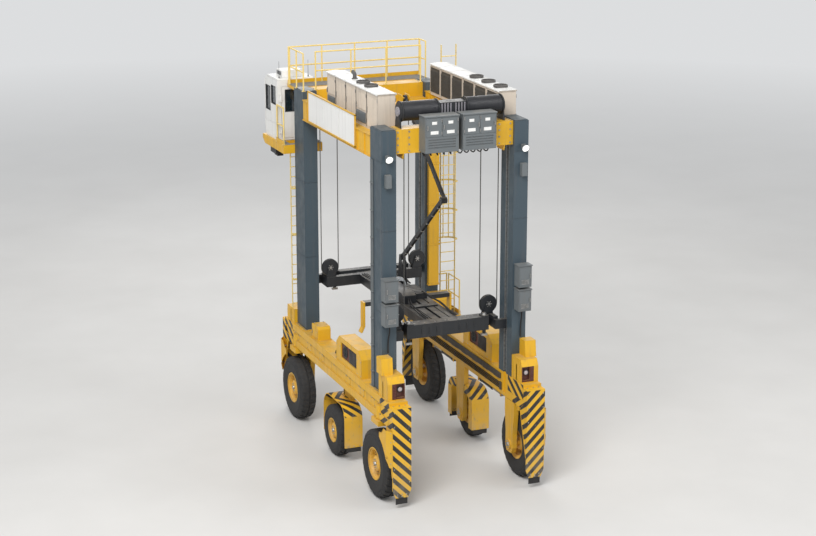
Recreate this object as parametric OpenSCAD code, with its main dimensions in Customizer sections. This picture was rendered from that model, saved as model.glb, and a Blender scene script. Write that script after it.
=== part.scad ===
// Straddle carrier: a tall portal on six wheels that drives over a container, grips it from
// above with a telescoping spreader, and carries it between its legs.
// Millimetres. +Z is up, the front is at -Y, and the driver's cab hangs at the rear on the -X side.

/* [Wheels] */
// Distance from the centre line to the middle of each wheel
half_track = 2120; // [2050:10:2250]
// Distance between the front and the rear axles
wheel_base = 6850; // [6600:10:7100]
// Outer diameter of the four corner tyres
big_d = 1900; // [1800:10:1950]
// Width of the corner tyres
big_w = 500; // [440:5:520]
// Rim diameter of the corner wheels
big_rim_d = 850; // [780:10:900]
// Outer diameter of the two middle tyres
small_d = 1490; // [1400:10:1600]
// Width of the middle tyres
small_w = 430; // [380:5:460]
// Rim diameter of the middle wheels
small_rim_d = 650; // [600:10:700]
// Radius of the wheel axles
axle_r = 90; // [60:5:110]
// Radius of the steering kingpins
kingpin_r = 100; // [80:5:120]
// Depth of a kingpin in the side beam
kingpin_depth = 320; // [200:10:400]
// Thickness of a wheel arm, across the machine
arm_w = 140; // [100:5:145]
// Gap between a wheel arm and its tyre
arm_gap = 25; // [15:1:40]

/* [Side beams] */
// Underside of the side beams above the ground
beam_z = 2260; // [2200:10:2320]
// Height of the side beams
beam_h = 690; // [600:10:760]
// Width of the side beams
beam_w = 540; // [500:10:560]
// Reach of the side beams in front of and behind the middle
beam_reach = 4300; // [4200:10:4400]
// Distance of the long groove in a side beam's outer face from the beam's edges
groove_edge = 210; // [150:10:260]
// Depth of the long groove
groove_d = 35; // [15:5:60]

/* [Legs and top frame] */
// Size of a leg across the machine
leg_w = 420; // [360:10:460]
// Size of a leg along the machine
leg_d = 800; // [700:10:900]
// Distance from the middle to a leg's centre, along the machine
leg_y = 3090; // [3000:10:3200]
// Height of the leg tops
leg_top = 10150; // [9900:10:10400]
// Width of the guide slot in a leg's inner face
slot_w = 180; // [140:10:220]
// Depth of the guide slot
slot_d = 45; // [30:5:60]
// Height of the top side beams
top_beam_h = 600; // [500:10:700]
// Underside of the top side beams above the ground
top_beam_z = 9330; // [9200:10:9450]
// Size of the top cross beams along the machine
cross_d = 500; // [400:10:600]
// Underside of the top cross beams above the ground
cross_z = 9500; // [9400:10:9600]

/* [Cabinets and boxes] */
// Width of the long machinery cabinets
cabinet_w = 500; // [450:10:500]
// Height of the left cabinet
cabinet_left_h = 1040; // [900:10:1100]
// Height of the right cabinet
cabinet_right_h = 900; // [800:10:1000]
// Wall thickness of the left cabinet
cabinet_wall = 30; // [15:1:40]
// Length of the left cabinet
cabinet_left_l = 3900; // [3600:10:4000]
// Length of the right cabinet
cabinet_right_l = 4770; // [4400:10:5000]
// Pitch of the cabinet doors
door_pitch = 800; // [600:10:1000]
// Width of a seam between cabinet doors
seam_w = 24; // [10:2:40]
// Depth of a seam between cabinet doors
seam_d = 12; // [5:1:15]
// Length of the engine and generator block
engine_l = 1500; // [1200:10:1700]
// Size of each grey box on the front cross beam, across the machine
front_box_w = 960; // [800:10:1000]
// Height of each grey box on the front cross beam
front_box_h = 950; // [800:10:1000]
// Size of each grey box on the front cross beam, along the machine
front_box_d = 420; // [300:10:500]

/* [Hoist] */
// Height of the spreader's corner castings faces above the ground, as parked
spreader_z = 4250; // [4100:10:4400]
// Diameter of the hoist drums
drum_d = 560; // [480:10:640]
// Length of a hoist drum
drum_l = 1150; // [1000:10:1250]
// Diameter of the rope sheaves on the spreader
sheave_d = 500; // [420:10:540]
// Distance from a leg's inner face to the middle of a sheave
sheave_in = 315; // [305:5:335]
// Radius of the hoist ropes
rope_r = 14; // [10:1:18]
// Travel of each spreader end, from the 20 foot to the 40 foot setting
end_travel = 3066; // [3066:1:3066]
// Spacing of the twistlocks across the machine
lock_x = 2259; // [2259:1:2259]
// Spacing of the twistlocks along the machine in the 20 foot setting
lock_y = 5853; // [5853:1:5853]
// Radius of a twistlock's shank
lock_r = 50; // [40:1:55]
// Height of the spreader's end beams
end_h = 380; // [320:10:420]
// Width of the spreader's end beams along the machine
end_d = 240; // [200:10:260]
// Width of a telescoping arm
tele_w = 170; // [140:5:190]
// Height of a telescoping arm
tele_h = 220; // [180:5:240]
// Wall of the tubes that hold the telescoping arms
tube_wall = 14; // [10:1:20]
// Running gap all round a telescoping arm
tele_gap = 6; // [5:1:8]

/* [Cable arm] */
// Length of each of the two links between their pins
link_l = 3750; // [3600:10:3800]
// Width of a link
link_w = 80; // [60:5:90]
// Radius of the eyes at the ends of the links
eye_r = 95; // [80:5:105]
// Radius of the cable arm's pins
link_pin_r = 35; // [25:1:40]

/* [Cab] */
// Width of the cab
cab_w = 1150; // [1050:10:1200]
// Length of the cab
cab_l = 1200; // [1100:10:1400]
// Height of the cab
cab_h = 1800; // [1750:10:1900]
// Thickness of the cab's walls and door
cab_wall = 60; // [40:5:80]
// Thickness of the cab's glass
glass_t = 12; // [8:1:20]
// Height of the cab's floor above the ground
cab_z = 8450; // [8350:10:8550]
// Thickness of the platform under the cab
platform_h = 260; // [200:10:320]
// Length of the landing before the cab's door
landing_l = 700; // [680:10:800]
// Gap round the cab door
door_gap = 8; // [6:1:12]

/* [Guards and access] */
// Thickness of the striped wheel guards
guard_t = 30; // [20:2:40]
// Gap between a corner tyre, turned to its limit, and its guard
guard_gap = 110; // [80:5:140]
// Height of a guard's lower edge above the ground
guard_z = 320; // [200:10:400]
// Radius of the handrail tubes
rail_r = 21; // [16:1:25]
// Height of the handrails
rail_h = 1100; // [1000:10:1150]
// Clear width of the tall ladder
ladder_w = 460; // [400:10:500]
// Clear width of the cab's ladder
cab_ladder_w = 400; // [360:10:420]
// Spacing of the ladder rungs
rung_pitch = 300; // [250:10:320]
// Radius of the safety cage round the tall ladder
cage_r = 330; // [300:5:335]

/* [Hidden] */
$fn = 64;

// Colours, as on the real machine.
yellow = [0.90, 0.62, 0.06];
pale_yellow = [0.93, 0.80, 0.35];
slate = [0.27, 0.34, 0.40];
grey = [0.42, 0.46, 0.49];
white = [0.88, 0.87, 0.83];
beige = [0.80, 0.74, 0.66];
black = [0.10, 0.10, 0.11];
rubber = [0.07, 0.07, 0.07];

// Fits
run_gap = 0.3;
seat_gap = 0.3;
bead_gap = 0.8;
move_gap = 12;

// Places along and across the machine, worked out from the driving sizes.
axle_y = wheel_base / 2;
beam_top = beam_z + beam_h;
big_r = big_d / 2;
small_r = small_d / 2;
inner_x = half_track - big_w / 2 - arm_gap - arm_w;
leg_in = inner_x;
leg_out = leg_in + leg_w;
beam_out = inner_x + beam_w;
leg_front = leg_y + leg_d / 2;
leg_back = leg_y - leg_d / 2;
top_beam_top = top_beam_z + top_beam_h;
cross_y0 = leg_y - cross_d / 2 + 60;
cross_y1 = cross_y0 + cross_d;

// Wheel guards
steer_reach = sqrt(pow(big_r, 2) + pow(big_w / 2, 2));
guard_stand = 200;
guard_y = max(10 * ceil((axle_y + steer_reach + guard_gap) / 10), beam_reach + guard_stand);
guard_top = beam_top - 80;

// The cab and its platform
cab_x0 = -(leg_out + 290);
cab_x1 = cab_x0 + cab_w;
cab_y0 = leg_front + landing_l;
cab_y1 = cab_y0 + cab_l;
platform_edge = 60;
platform_y1 = cab_y1 + platform_edge;
walk_t = 80;
walk_y1 = leg_front + 600;

// The tall ladder stands behind the right rear leg, the other one under the cab.
ladder_x = leg_out + 110 + ladder_w / 2;
ladder_y = leg_back + 60;
stile_w = 60;
stile_t = 16;
cage_x1 = ladder_x + cage_r;

// The box round the whole machine, whose middle is the origin.
left_x = min(cab_x0 - platform_edge, -half_track - big_w / 2);
right_x = max(cage_x1, half_track + big_w / 2);
front_y = -(guard_y + guard_t);
rear_y = max(platform_y1, guard_y + guard_t);
mid_x = (left_x + right_x) / 2;
mid_y = (front_y + rear_y) / 2;

// Columns: side (-1 left, 1 right), place along the machine, tyre diameter, tyre width, rim diameter.
WHEELS = [
    [-1, -axle_y, big_d, big_w, big_rim_d],
    [1, -axle_y, big_d, big_w, big_rim_d],
    [-1, 0, small_d, small_w, small_rim_d],
    [1, 0, small_d, small_w, small_rim_d],
    [-1, axle_y, big_d, big_w, big_rim_d],
    [1, axle_y, big_d, big_w, big_rim_d]
];
SIDE = 0;
PLACE = 1;
DIA = 2;
WIDTH = 3;
RIM = 4;

// Spreader
lock_len = 120;
cross_top = spreader_z + end_h - 60;
sheave_z = cross_top + sheave_d / 2 + 3 * rope_r;
sheave_x = leg_in - sheave_in;
sheave_y = leg_back - 90;
sheave_w = 90;
cheek_t = 20;
member_d = 200;
end_y = lock_y / 2;
tube_w = tele_w + 2 * (tele_gap + tube_wall);
tube_h = tele_h + 2 * (tele_gap + tube_wall);
tube_z = spreader_z + end_h / 2;
tube_end = end_y - end_d / 2 - 25;
inner_tube_x = tube_w / 2 + 40;
outer_tube_x = inner_tube_x + tube_w + 30;
rope_x = sheave_d / 2 + rope_r + run_gap;
anchor_z = top_beam_z + 70;
anchor_h = 340;
shoe_x = leg_in + slot_d - run_gap;

// Cable arm: both links lie in upright planes beside each other.
link_x = 450;
lower_x = link_x - link_w - 10;
pivot_y = 1200;
pivot_z = leg_top - 100;
socket_z = spreader_z + 1100;
link_rise = asin((pivot_z - socket_z) / (2 * link_l));
elbow_y = pivot_y - link_l * cos(link_rise);
elbow_z = pivot_z - link_l * sin(link_rise);
bearer_y = pivot_y + eye_r + 60;
bearer_d = 260;
bearer_z = top_beam_z + 200;

module placed() {
    translate([-mid_x, -mid_y, 0]) children();
}

module both_sides() {
    for (side = [-1, 1]) {
        scale_side(side) children();
    }
}

module both_ends() {
    for (end = [-1, 1]) {
        scale_end(end) children();
    }
}

module scale_side(side) {
    if (side < 0) mirror([1, 0, 0]) children();
    else children();
}

module scale_end(end) {
    if (end < 0) mirror([0, 1, 0]) children();
    else children();
}

// A box between two corners.
module block(low, high) {
    translate(low) cube([high[0] - low[0], high[1] - low[1], high[2] - low[2]]);
}

// A round bar along X, Y or Z, from a point.
module bar_x(start, length, radius) {
    translate(start) rotate([0, 90, 0]) cylinder(h = length, r = radius);
}

module bar_y(start, length, radius) {
    translate(start) rotate([-90, 0, 0]) cylinder(h = length, r = radius);
}

module bar_z(start, length, radius) {
    translate(start) cylinder(h = length, r = radius);
}

// An outline drawn in (y, z), given its thickness along X from x0.
module side_plate(x0, thickness, points) {
    translate([x0, 0, 0]) rotate([90, 0, 90]) linear_extrude(height = thickness) polygon(points);
}

// Side beams: long boxes with a groove outside, the guide slots inside, sloping ends and kingpin housings.
module side_beams() placed() color(yellow) both_sides() difference() {
    union() {
        difference() {
            side_plate(inner_x, beam_w, [
                [-beam_reach, beam_z + beam_cut], [-beam_reach + beam_cut, beam_z], [beam_reach - beam_cut, beam_z],
                [beam_reach, beam_z + beam_cut], [beam_reach, beam_top], [-beam_reach, beam_top]
            ]);
            block([beam_out - groove_d, -beam_reach - 1, beam_z + groove_edge],
                [beam_out + 1, beam_reach + 1, beam_top - groove_edge]);
        }
        both_ends() bar_z([half_track, axle_y, beam_z], kingpin_depth + housing_wall, kingpin_r + housing_wall);
        scale_end(-1) front_foot();
        rear_foot();
        both_ends() tie_down_eye();
    }
    both_ends() bar_z([half_track, axle_y, beam_z - 1], kingpin_depth + 1, kingpin_r + run_gap);
    both_ends() block([inner_x - 1, leg_y - slot_w / 2, beam_z + 100],
        [inner_x + slot_d, leg_y + slot_w / 2, beam_top + 1]);
    both_ends() bar_x([inner_x - 1, tie_y, tie_z], tie_t + 2, tie_hole_r);
}

// Feet that brace the legs on the beams: a box with a head on it at the front, a low box at the rear.
beam_cut = 150;
housing_wall = 60;
foot_l = 650;
foot_box_h = 650;
front_foot_h = 1100;
foot_head_w = 330;
foot_head_l = 330;
rear_foot_h = 450;
recess_w = 210;
module front_foot() difference() {
    union() {
        side_plate(inner_x + 20, beam_w - 40, [
            [leg_front, beam_top - 1], [leg_front + foot_l, beam_top - 1], [leg_front + foot_l, beam_top + foot_box_h - 180],
            [leg_front + foot_l - 90, beam_top + foot_box_h], [leg_front, beam_top + foot_box_h]
        ]);
        side_plate(beam_out + 40 - foot_head_w, foot_head_w, [
            [leg_front, beam_top + foot_box_h - 1], [leg_front + foot_head_l + 60, beam_top + foot_box_h - 1],
            [leg_front + foot_head_l, beam_top + front_foot_h], [leg_front, beam_top + front_foot_h]
        ]);
    }
    block([inner_x + 50, leg_front + foot_l - 60, beam_top + 90],
        [inner_x + 50 + recess_w, leg_front + foot_l + 1, beam_top + foot_box_h - 200]);
}

module rear_foot() side_plate(inner_x + 20, beam_w - 40, [
    [leg_front, beam_top - 1], [leg_front + foot_l, beam_top - 1], [leg_front + foot_l, beam_top + 250],
    [leg_front + foot_l - 20, beam_top + rear_foot_h], [leg_front, beam_top + rear_foot_h]
]);

// Lashing eyes under the inner edge of the beam ends.
tie_t = 50;
tie_hole_r = 40;
tie_y = beam_reach - 330;
tie_z = beam_z - 60;
eye_half = 110;
module tie_down_eye() {
    side_plate(inner_x, tie_t, [
        [tie_y - eye_half, beam_z + 1], [tie_y - 70, tie_z - 70], [tie_y + 70, tie_z - 70],
        [tie_y + eye_half, beam_z + 1]
    ]);
}

// Legs: box columns with a guide slot down their inner face.
module legs() placed() color(slate) both_sides() both_ends() difference() {
    block([leg_in, leg_back, beam_top], [leg_out, leg_front, leg_top]);
    block([leg_in - 1, leg_y - slot_w / 2, beam_top - 1], [leg_in + slot_d, leg_y + slot_w / 2, leg_top - 500]);
}

// Cable duct up the front face of the right rear leg, with a flange at each joint.
duct_w = 330;
duct_d = 120;
duct_joint = 1250;
module cable_duct() placed() color(yellow) union() {
    x0 = leg_out - 20 - duct_w;
    z0 = beam_top + 1000;
    block([x0, leg_back - duct_d, z0], [x0 + duct_w, leg_back, top_beam_z]);
    for (z = [z0 : duct_joint : top_beam_z - 200]) {
        block([x0 - 12, leg_back - duct_d - 12, z], [x0 + duct_w + 12, leg_back, z + 60]);
    }
}

// Side beams of the top frame, with wide flanges and, on the left, brackets under the cabinet's inner edge.
flange_w = 30;
flange_t = 25;
module top_beams() placed() color(yellow) {
    both_sides() union() {
        block([leg_in, -leg_back, top_beam_z + flange_t], [leg_out, leg_back, top_beam_top - flange_t]);
        for (z = [top_beam_z, top_beam_top - flange_t]) {
            block([leg_in - flange_w, -leg_back, z], [leg_out + flange_w, leg_back, z + flange_t]);
        }
    }
    cabinet_brackets();
}

// Brackets on the left top beam, under the inner edge of the wide cabinet.
bracket_pitch = 1200;
module cabinet_brackets() {
    for (y = [left_cabinet[1] + 300 : bracket_pitch : left_cabinet[1] + cabinet_left_l - 100]) {
        block([-leg_in - 1, y, top_beam_top - 160], [left_cabinet[0] + cabinet_w - 20, y + 120, top_beam_top]);
    }
}

// Cross beams of the top frame: between the leg heads front and rear, with the rope anchors on their
// inner faces, and the one that carries the cable arm.
module cross_beams() placed() color(yellow) {
    both_ends() leg_head_beam();
    arm_bearer();
}

module leg_head_beam() union() {
    block([-leg_in, cross_y0, cross_z], [leg_in, cross_y1, leg_top]);
    both_sides() side_plate(leg_in - 260, 30, [
        [cross_y0 + 40, cross_z - 150], [cross_y1 - 40, cross_z - 150], [cross_y1, cross_z + 1], [cross_y0, cross_z + 1]
    ]);
    both_sides() block([sheave_x - rope_x - 60, sheave_y - 70, anchor_z],
        [leg_in - flange_w - seat_gap, cross_y0 + 1, anchor_z + anchor_h]);
}

// Cross member that carries the cable arm's upper pivot between two cheeks.
module arm_bearer() union() {
    block([-leg_in, bearer_y, bearer_z], [leg_in, bearer_y + bearer_d, top_beam_top - flange_t - 20]);
    for (x = [link_x - 110, link_x + 110]) {
        side_plate(x - 15, 30, [
            [bearer_y + 1, pivot_z - 500], [pivot_y - 60, pivot_z - 90], [pivot_y - 90, pivot_z + 40],
            [pivot_y, pivot_z + 95], [bearer_y + 150, pivot_z + 95], [bearer_y + bearer_d, top_beam_top - 50]
        ]);
    }
    bar_x([link_x - 110, pivot_y, pivot_z], 220, link_pin_r);
}

// The low corners of the cabinets on the top frame.
cabinet_back = 225;
left_cabinet = [-leg_out + cabinet_back, -leg_back + 20, top_beam_top];
right_cabinet = [leg_out - cabinet_w, -leg_back + 20, top_beam_top];

// Cabinet with seams between its doors, and a rim round its roof.
module cabinet_body(width, length, height) {
    difference() {
        union() {
            cube([width, length, height - 30]);
            translate([-15, -15, height - 31]) cube([width + 30, length + 30, 31]);
        }
        for (y = [door_pitch : door_pitch : length - 200]) {
            translate([-1, y, 60]) cube([seam_d + 1, seam_w, height - 160]);
            translate([width - seam_d, y, 60]) cube([seam_d + 1, seam_w, height - 160]);
        }
    }
}

module cabinet_left() placed() color(beige) translate(left_cabinet) difference() {
    cabinet_body(cabinet_w, cabinet_left_l, cabinet_left_h);
    translate([cabinet_wall, cabinet_wall, cabinet_wall]) cube([
        cabinet_w - 2 * cabinet_wall, cabinet_left_l - 2 * cabinet_wall, cabinet_left_h - 2 * cabinet_wall - 30
    ]);
}

// Engine and generator, one plain block on the cabinet's floor.
module engine_block() placed() color(grey) translate(left_cabinet) translate([
    cabinet_wall + 20, (cabinet_left_l - engine_l) / 2, cabinet_wall
]) cube([cabinet_w - 2 * cabinet_wall - 40, engine_l, engine_h]);
engine_h = 720;

module cabinet_right() placed() color(beige) translate(right_cabinet)
    cabinet_body(cabinet_w, cabinet_right_l, cabinet_right_h);

// Grey boxes: two on the front cross beam, and control boxes and lamps on the front legs.
module front_boxes() placed() color(grey) both_sides() {
    beam_boxes();
    leg_boxes();
}

module beam_boxes() {
    x0 = 60;
    z0 = cross_z + 40;
    difference() {
        union() {
            block([x0, -cross_y1 - front_box_d, z0], [x0 + front_box_w, -cross_y1, z0 + front_box_h]);
            block([x0 - 20, -cross_y1 - front_box_d - 20, z0 + front_box_h - 1],
                [x0 + front_box_w + 20, -cross_y1, z0 + front_box_h + 30]);
        }
        for (z = [z0 + 120 : 70 : z0 + 330]) {
            block([x0 + 90, -cross_y1 - front_box_d - 1, z],
                [x0 + front_box_w - 90, -cross_y1 - front_box_d + 15, z + 30]);
        }
    }
}

// Hoist drums on the front cross beam, with flanges, cradles and a gearbox between them.
drum_z = leg_top + 90 + drum_d / 2 + 50;
drum_y = -(cross_y0 + 200);
gearbox_w = 760;
module hoist_drums() placed() color(black) union() {
    both_sides() {
        bar_x([gearbox_w / 2, drum_y, drum_z], drum_l - 40, drum_d / 2 - 40);
        for (x = [gearbox_w / 2 + 20, gearbox_w / 2 + drum_l - 100]) {
            bar_x([x, drum_y, drum_z], 30, drum_d / 2);
        }
        side_plate(gearbox_w / 2 + drum_l - 60, 40, [
            [drum_y - 190, leg_top + 0.3], [drum_y + 190, leg_top + 0.3], [drum_y + 90, drum_z + 80], [drum_y - 90, drum_z + 80]
        ]);
    }
    block([-gearbox_w / 2, drum_y - 200, leg_top + 0.3], [gearbox_w / 2, drum_y + 200, drum_z + 190]);
}

// Blank white panel on the outside of the left top beam.
sign_l = 3800;
sign_h = 880;
sign_t = 20;
sign_y = -1690;
sign_z = top_beam_z + 70;
module sign_panel() placed() color(white)
    block([-leg_out - flange_w - sign_t, sign_y, sign_z], [-leg_out - flange_w, sign_y + sign_l, sign_z + sign_h]);

// On the front face of a front leg: two boxes, the aerial's box and a work lamp.
box_w = 380;
box_d = 300;
box_h = 620;
module leg_boxes() {
    for (z = [beam_top + 1950, beam_top + 1950 + box_h + 60]) {
        block([leg_in + 60, -leg_front - box_d, z], [leg_in + 60 + box_w, -leg_front, z + box_h]);
        block([leg_in + 40, -leg_front - box_d - 20, z + box_h - 25],
            [leg_in + 80 + box_w, -leg_front, z + box_h]);
    }
    translate([leg_in + 260, -leg_front, leg_top - 700]) union() {
        block([-60, -100, -60], [60, 0, 60]);
        translate([0, -95, 0]) rotate([110, 0, 0]) cylinder(h = 90, r1 = 70, r2 = 110);
    }
    block([leg_in + 180, -leg_front - 140, leg_top - 1500], [leg_in + 340, -leg_front, leg_top - 1150]);
}

// Drive units on the side beams: a yellow hood with the motor's end standing out of it.
drive_l = 2000;
drive_y = -2150;
drive_h = 760;
module drive_units() placed() color(yellow) both_sides() difference() {
    side_plate(inner_x + 30, beam_w - 60, [
        [drive_y, beam_top], [drive_y + drive_l, beam_top], [drive_y + drive_l, beam_top + drive_h * 0.7],
        [drive_y + drive_l - 250, beam_top + drive_h], [drive_y + 250, beam_top + drive_h],
        [drive_y, beam_top + drive_h * 0.7]
    ]);
    for (x = [inner_x + 29, beam_out - 70]) {
        block([x, drive_y + 380, beam_top + 160], [x + 41, drive_y + drive_l - 380, beam_top + drive_h - 150]);
    }
}

// Striped guards in line with the side beams: before the corner wheels and round the middle ones.
module wheel_guards() placed() color(yellow) both_sides() {
    both_ends() corner_guard();
    middle_guard();
}

// Corner guard: a plate hung before the beam's end, with a cheek on each side that tapers down
// outside the circle swept by the turned tyre.
cheek_low = big_r - 70;
cheek_back = tie_y + eye_half + 15;
corner_cut = 90;
module corner_guard() union() {
    translate([0, guard_y + guard_t, 0]) rotate([90, 0, 0]) linear_extrude(height = guard_t) polygon([
        [inner_x, guard_z + 2.5 * corner_cut], [inner_x + corner_cut, guard_z], [beam_out - corner_cut, guard_z],
        [beam_out, guard_z + 2.5 * corner_cut], [beam_out, guard_top], [inner_x, guard_top]
    ]);
    block([inner_x, beam_reach + seat_gap, guard_top - guard_t], [beam_out, guard_y + 1, guard_top]);
    for (x = [inner_x, beam_out - guard_t]) side_plate(x, guard_t, [
        [guard_y + 1, cheek_low], [guard_y + 1, guard_top], [beam_reach + seat_gap, guard_top],
        [beam_reach + seat_gap, beam_z + beam_cut - 20], [beam_reach - beam_cut, beam_z - 15], [cheek_back, beam_z - 15]
    ]);
}

// Middle guard: an arch round the tyre, notched for the wheel's arm, with a cheek on the lane side.
fender_gap = 115;
fender_t = 20;
fender_low = 470;
fender_top = small_d + 210;
fender_bend = 420;
fender_cheek = 250;
module middle_guard() difference() {
    union() {
        side_plate(inner_x, beam_w, arch_band(fender_t));
        side_plate(inner_x, fender_t, arch_band(fender_cheek));
    }
    block([inner_x - 1, -arm_top_half - 10, 0], [inner_x + arm_w + seat_gap, arm_top_half + 10, beam_z]);
}

// The arch in (y, z), a given depth of it inwards.
function arch_band(depth) = concat(arch_line(0, 1), arch_line(depth, -1));

function arch_line(inset, way) = let (
    half = small_r + fender_gap + fender_t - inset,
    top = fender_top - inset,
    bend = fender_bend - inset,
    corner = [for (a = [0 : 15 : 90]) [half - bend + bend * cos(a), top - bend + bend * sin(a)]],
    right = concat([[half, fender_low]], corner),
    n = len(right)
) concat(
    [for (i = [0 : n - 1]) [way * right[i][0], right[i][1]]],
    [for (i = [0 : n - 1]) [-way * right[n - 1 - i][0], right[n - 1 - i][1]]]
);

// Wheel arm: a plate beside the tyre with the axle at its foot.
// The outline, in (y, z): wide at the beam, narrow round the axle.
function arm_outline(hub_z, top_z, half_top, half_foot) = [
    [-half_foot, hub_z - 60], [-half_foot + 80, hub_z - half_foot], [half_foot - 80, hub_z - half_foot],
    [half_foot, hub_z - 60], [half_foot, hub_z + 350], [half_top, top_z - 350], [half_top, top_z],
    [-half_top, top_z], [-half_top, top_z - 350], [-half_foot, hub_z + 350]
];

arm_top_half = 300;
arm_foot_half = 230;
module wheel_arm(wheel, top_z) {
    hub_z = wheel[DIA] / 2;
    side_plate(inner_x, arm_w, arm_outline(hub_z, top_z, arm_top_half, arm_foot_half));
    bar_x([inner_x + arm_w - 1, 0, hub_z], half_track - inner_x - arm_w + 41, axle_r);
    bar_x([inner_x - 40, 0, hub_z], 41, axle_r + 60);
}

module middle_arms() placed() color(yellow) both_sides() wheel_arm(WHEELS[2], beam_z);

// Steered arm: a yoke over the tyre hangs on the kingpin and carries the arm.
yoke_h = 150;
yoke_half = 260;
yoke_over = 200;
module steered_arm(wheel) placed() color(yellow) scale_side(wheel[SIDE]) translate([0, wheel[PLACE], 0]) union() {
    top = beam_z - move_gap;
    wheel_arm(wheel, top);
    block([inner_x, -yoke_half, top - yoke_h], [half_track + yoke_over, yoke_half, top]);
    bar_z([half_track, 0, top - 1], kingpin_depth + move_gap - 40, kingpin_r);
}

// Tyre: a round shoulder, a flat tread and straight beads on the rim.
module tyre(wheel) placed() color(rubber) wheel_axis(wheel) rotate_extrude() {
    r = wheel[DIA] / 2;
    w = wheel[WIDTH] / 2;
    bead = wheel[RIM] / 2 + bead_gap;
    polygon([
        [bead, -w + 60], [bead + 60, -w + 20], [r - 220, -w], [r - 90, -w + 12], [r - 22, -w + 50], [r, -w + 100],
        [r, w - 100], [r - 22, w - 50], [r - 90, w - 12], [r - 220, w], [bead + 60, w - 20], [bead, w - 60]
    ]);
}

// Rim with its dished disc, hub and the bore for the axle.
module rim(wheel) placed() color(yellow) wheel_axis(wheel) rotate_extrude() {
    rr = wheel[RIM] / 2;
    w = wheel[WIDTH] / 2;
    bore = axle_r + run_gap;
    polygon([
        [bore, -120], [200, -120], [230, -40], [rr - 90, 20], [rr - 60, -w + 90], [rr + 25, -w + 28],
        [rr + 25, -w + 40], [rr, -w + 56], [rr, w - 56], [rr + 25, w - 40], [rr + 25, w - 28],
        [rr - 30, w - 80], [rr - 60, 70], [250, 30], [215, w - 90], [150, w - 60], [0, w - 60],
        [0, 60], [bore, 60]
    ]);
}

// Puts the wheel's own Z axis along the machine's X, its outer face outwards.
module wheel_axis(wheel) {
    scale_side(wheel[SIDE]) translate([half_track, wheel[PLACE], wheel[DIA] / 2]) rotate([0, 90, 0]) children();
}

// Cab: its outline and its inside in (y, z), the inside one wall smaller all round.
cab_slope = 350;
cab_cut = 160;
module cab_outer() {
    side_plate(cab_x0, cab_w, [
        [cab_y0, cab_z], [cab_y1 - 120, cab_z], [cab_y1, cab_z + cab_slope], [cab_y1, cab_z + cab_h - cab_cut],
        [cab_y1 - cab_cut, cab_z + cab_h], [cab_y0, cab_z + cab_h]
    ]);
}

module cab_inner() {
    side_plate(cab_x0 + cab_wall, cab_w - 2 * cab_wall, [
        [cab_y0 + cab_wall, cab_z + cab_wall], [cab_y1 - 120 - cab_wall, cab_z + cab_wall],
        [cab_y1 - cab_wall, cab_z + cab_slope + 10], [cab_y1 - cab_wall, cab_z + cab_h - cab_cut - 25],
        [cab_y1 - cab_cut - 25, cab_z + cab_h - cab_wall], [cab_y0 + cab_wall, cab_z + cab_h - cab_wall]
    ]);
}

// Windows. Columns: low x, low y, low z, high x, high y, high z of each opening, then the pane's thin axis.
door_w = 600;
door_x0 = cab_x0 + 130;
door_z0 = cab_z + 60;
door_h = 1550;
win_top = cab_z + 1600;
WINDOWS = [
    [cab_x0, cab_y0 + 130, cab_z + 1050, cab_x0 + cab_wall, cab_y0 + 560, win_top, 0],
    [cab_x0, cab_y0 + 640, cab_z + 800, cab_x0 + cab_wall, cab_y1 - 130, win_top - 60, 0],
    [cab_x1 - cab_wall, cab_y0 + 130, cab_z + 350, cab_x1, cab_y0 + 560, win_top, 0],
    [cab_x1 - cab_wall, cab_y0 + 640, cab_z + 350, cab_x1, cab_y1 - 130, win_top - 60, 0],
    [cab_x0 + 130, cab_y1 - cab_wall, cab_z + 450, cab_x1 - 130, cab_y1, win_top - 60, 1],
    [door_x0 + door_w + 80, cab_y0, cab_z + 800, cab_x1 - 100, cab_y0 + cab_wall, win_top, 1]
];

module cab_shell() placed() color(white) union() {
    cab_walls();
    shell_hinges();
}

module cab_walls() difference() {
    cab_outer();
    cab_inner();
    for (w = WINDOWS) {
        cut = w[6] == 0 ? [1, 0, 0] : [0, 1, 0];
        block([w[0], w[1], w[2]] - cut, [w[3], w[4], w[5]] + cut);
    }
    block([door_x0, cab_y0 - 1, door_z0], [door_x0 + door_w, cab_y0 + cab_wall + 1, door_z0 + door_h]);
}

// Panes, set in the middle of the walls.
module cab_glass() placed() color([0.12, 0.15, 0.18, 0.5]) {
    inset = (cab_wall - glass_t) / 2;
    for (w = WINDOWS) {
        cut = w[6] == 0 ? [inset, 0, 0] : [0, inset, 0];
        block([w[0], w[1], w[2]] + cut, [w[3], w[4], w[5]] - cut);
    }
}

// Door in the front wall, with its window cut, hung on two hinges at its outer edge.
hinge_r = 20;
hinge_x = door_x0 - 8;
hinge_y = cab_y0 - hinge_r - 5;
hinge_h = 140;
door_edge = 110;
handle_z = cab_z + 850;
handle_l = 180;
hinge_pin_r = 9;
HINGE_Z = [door_z0 + 200, door_z0 + door_h - 400];
module shell_hinges() for (z = HINGE_Z) {
    bar_z([hinge_x, hinge_y, z - 50], hinge_h + 100, hinge_pin_r);
    for (low = [z - 50, z + hinge_h + 2]) {
        bar_z([hinge_x, hinge_y, low], 48, hinge_r);
        block([hinge_x - 70, cab_y0 - 18, low], [hinge_x, cab_y0 + 1, low + 48]);
    }
}

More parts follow.
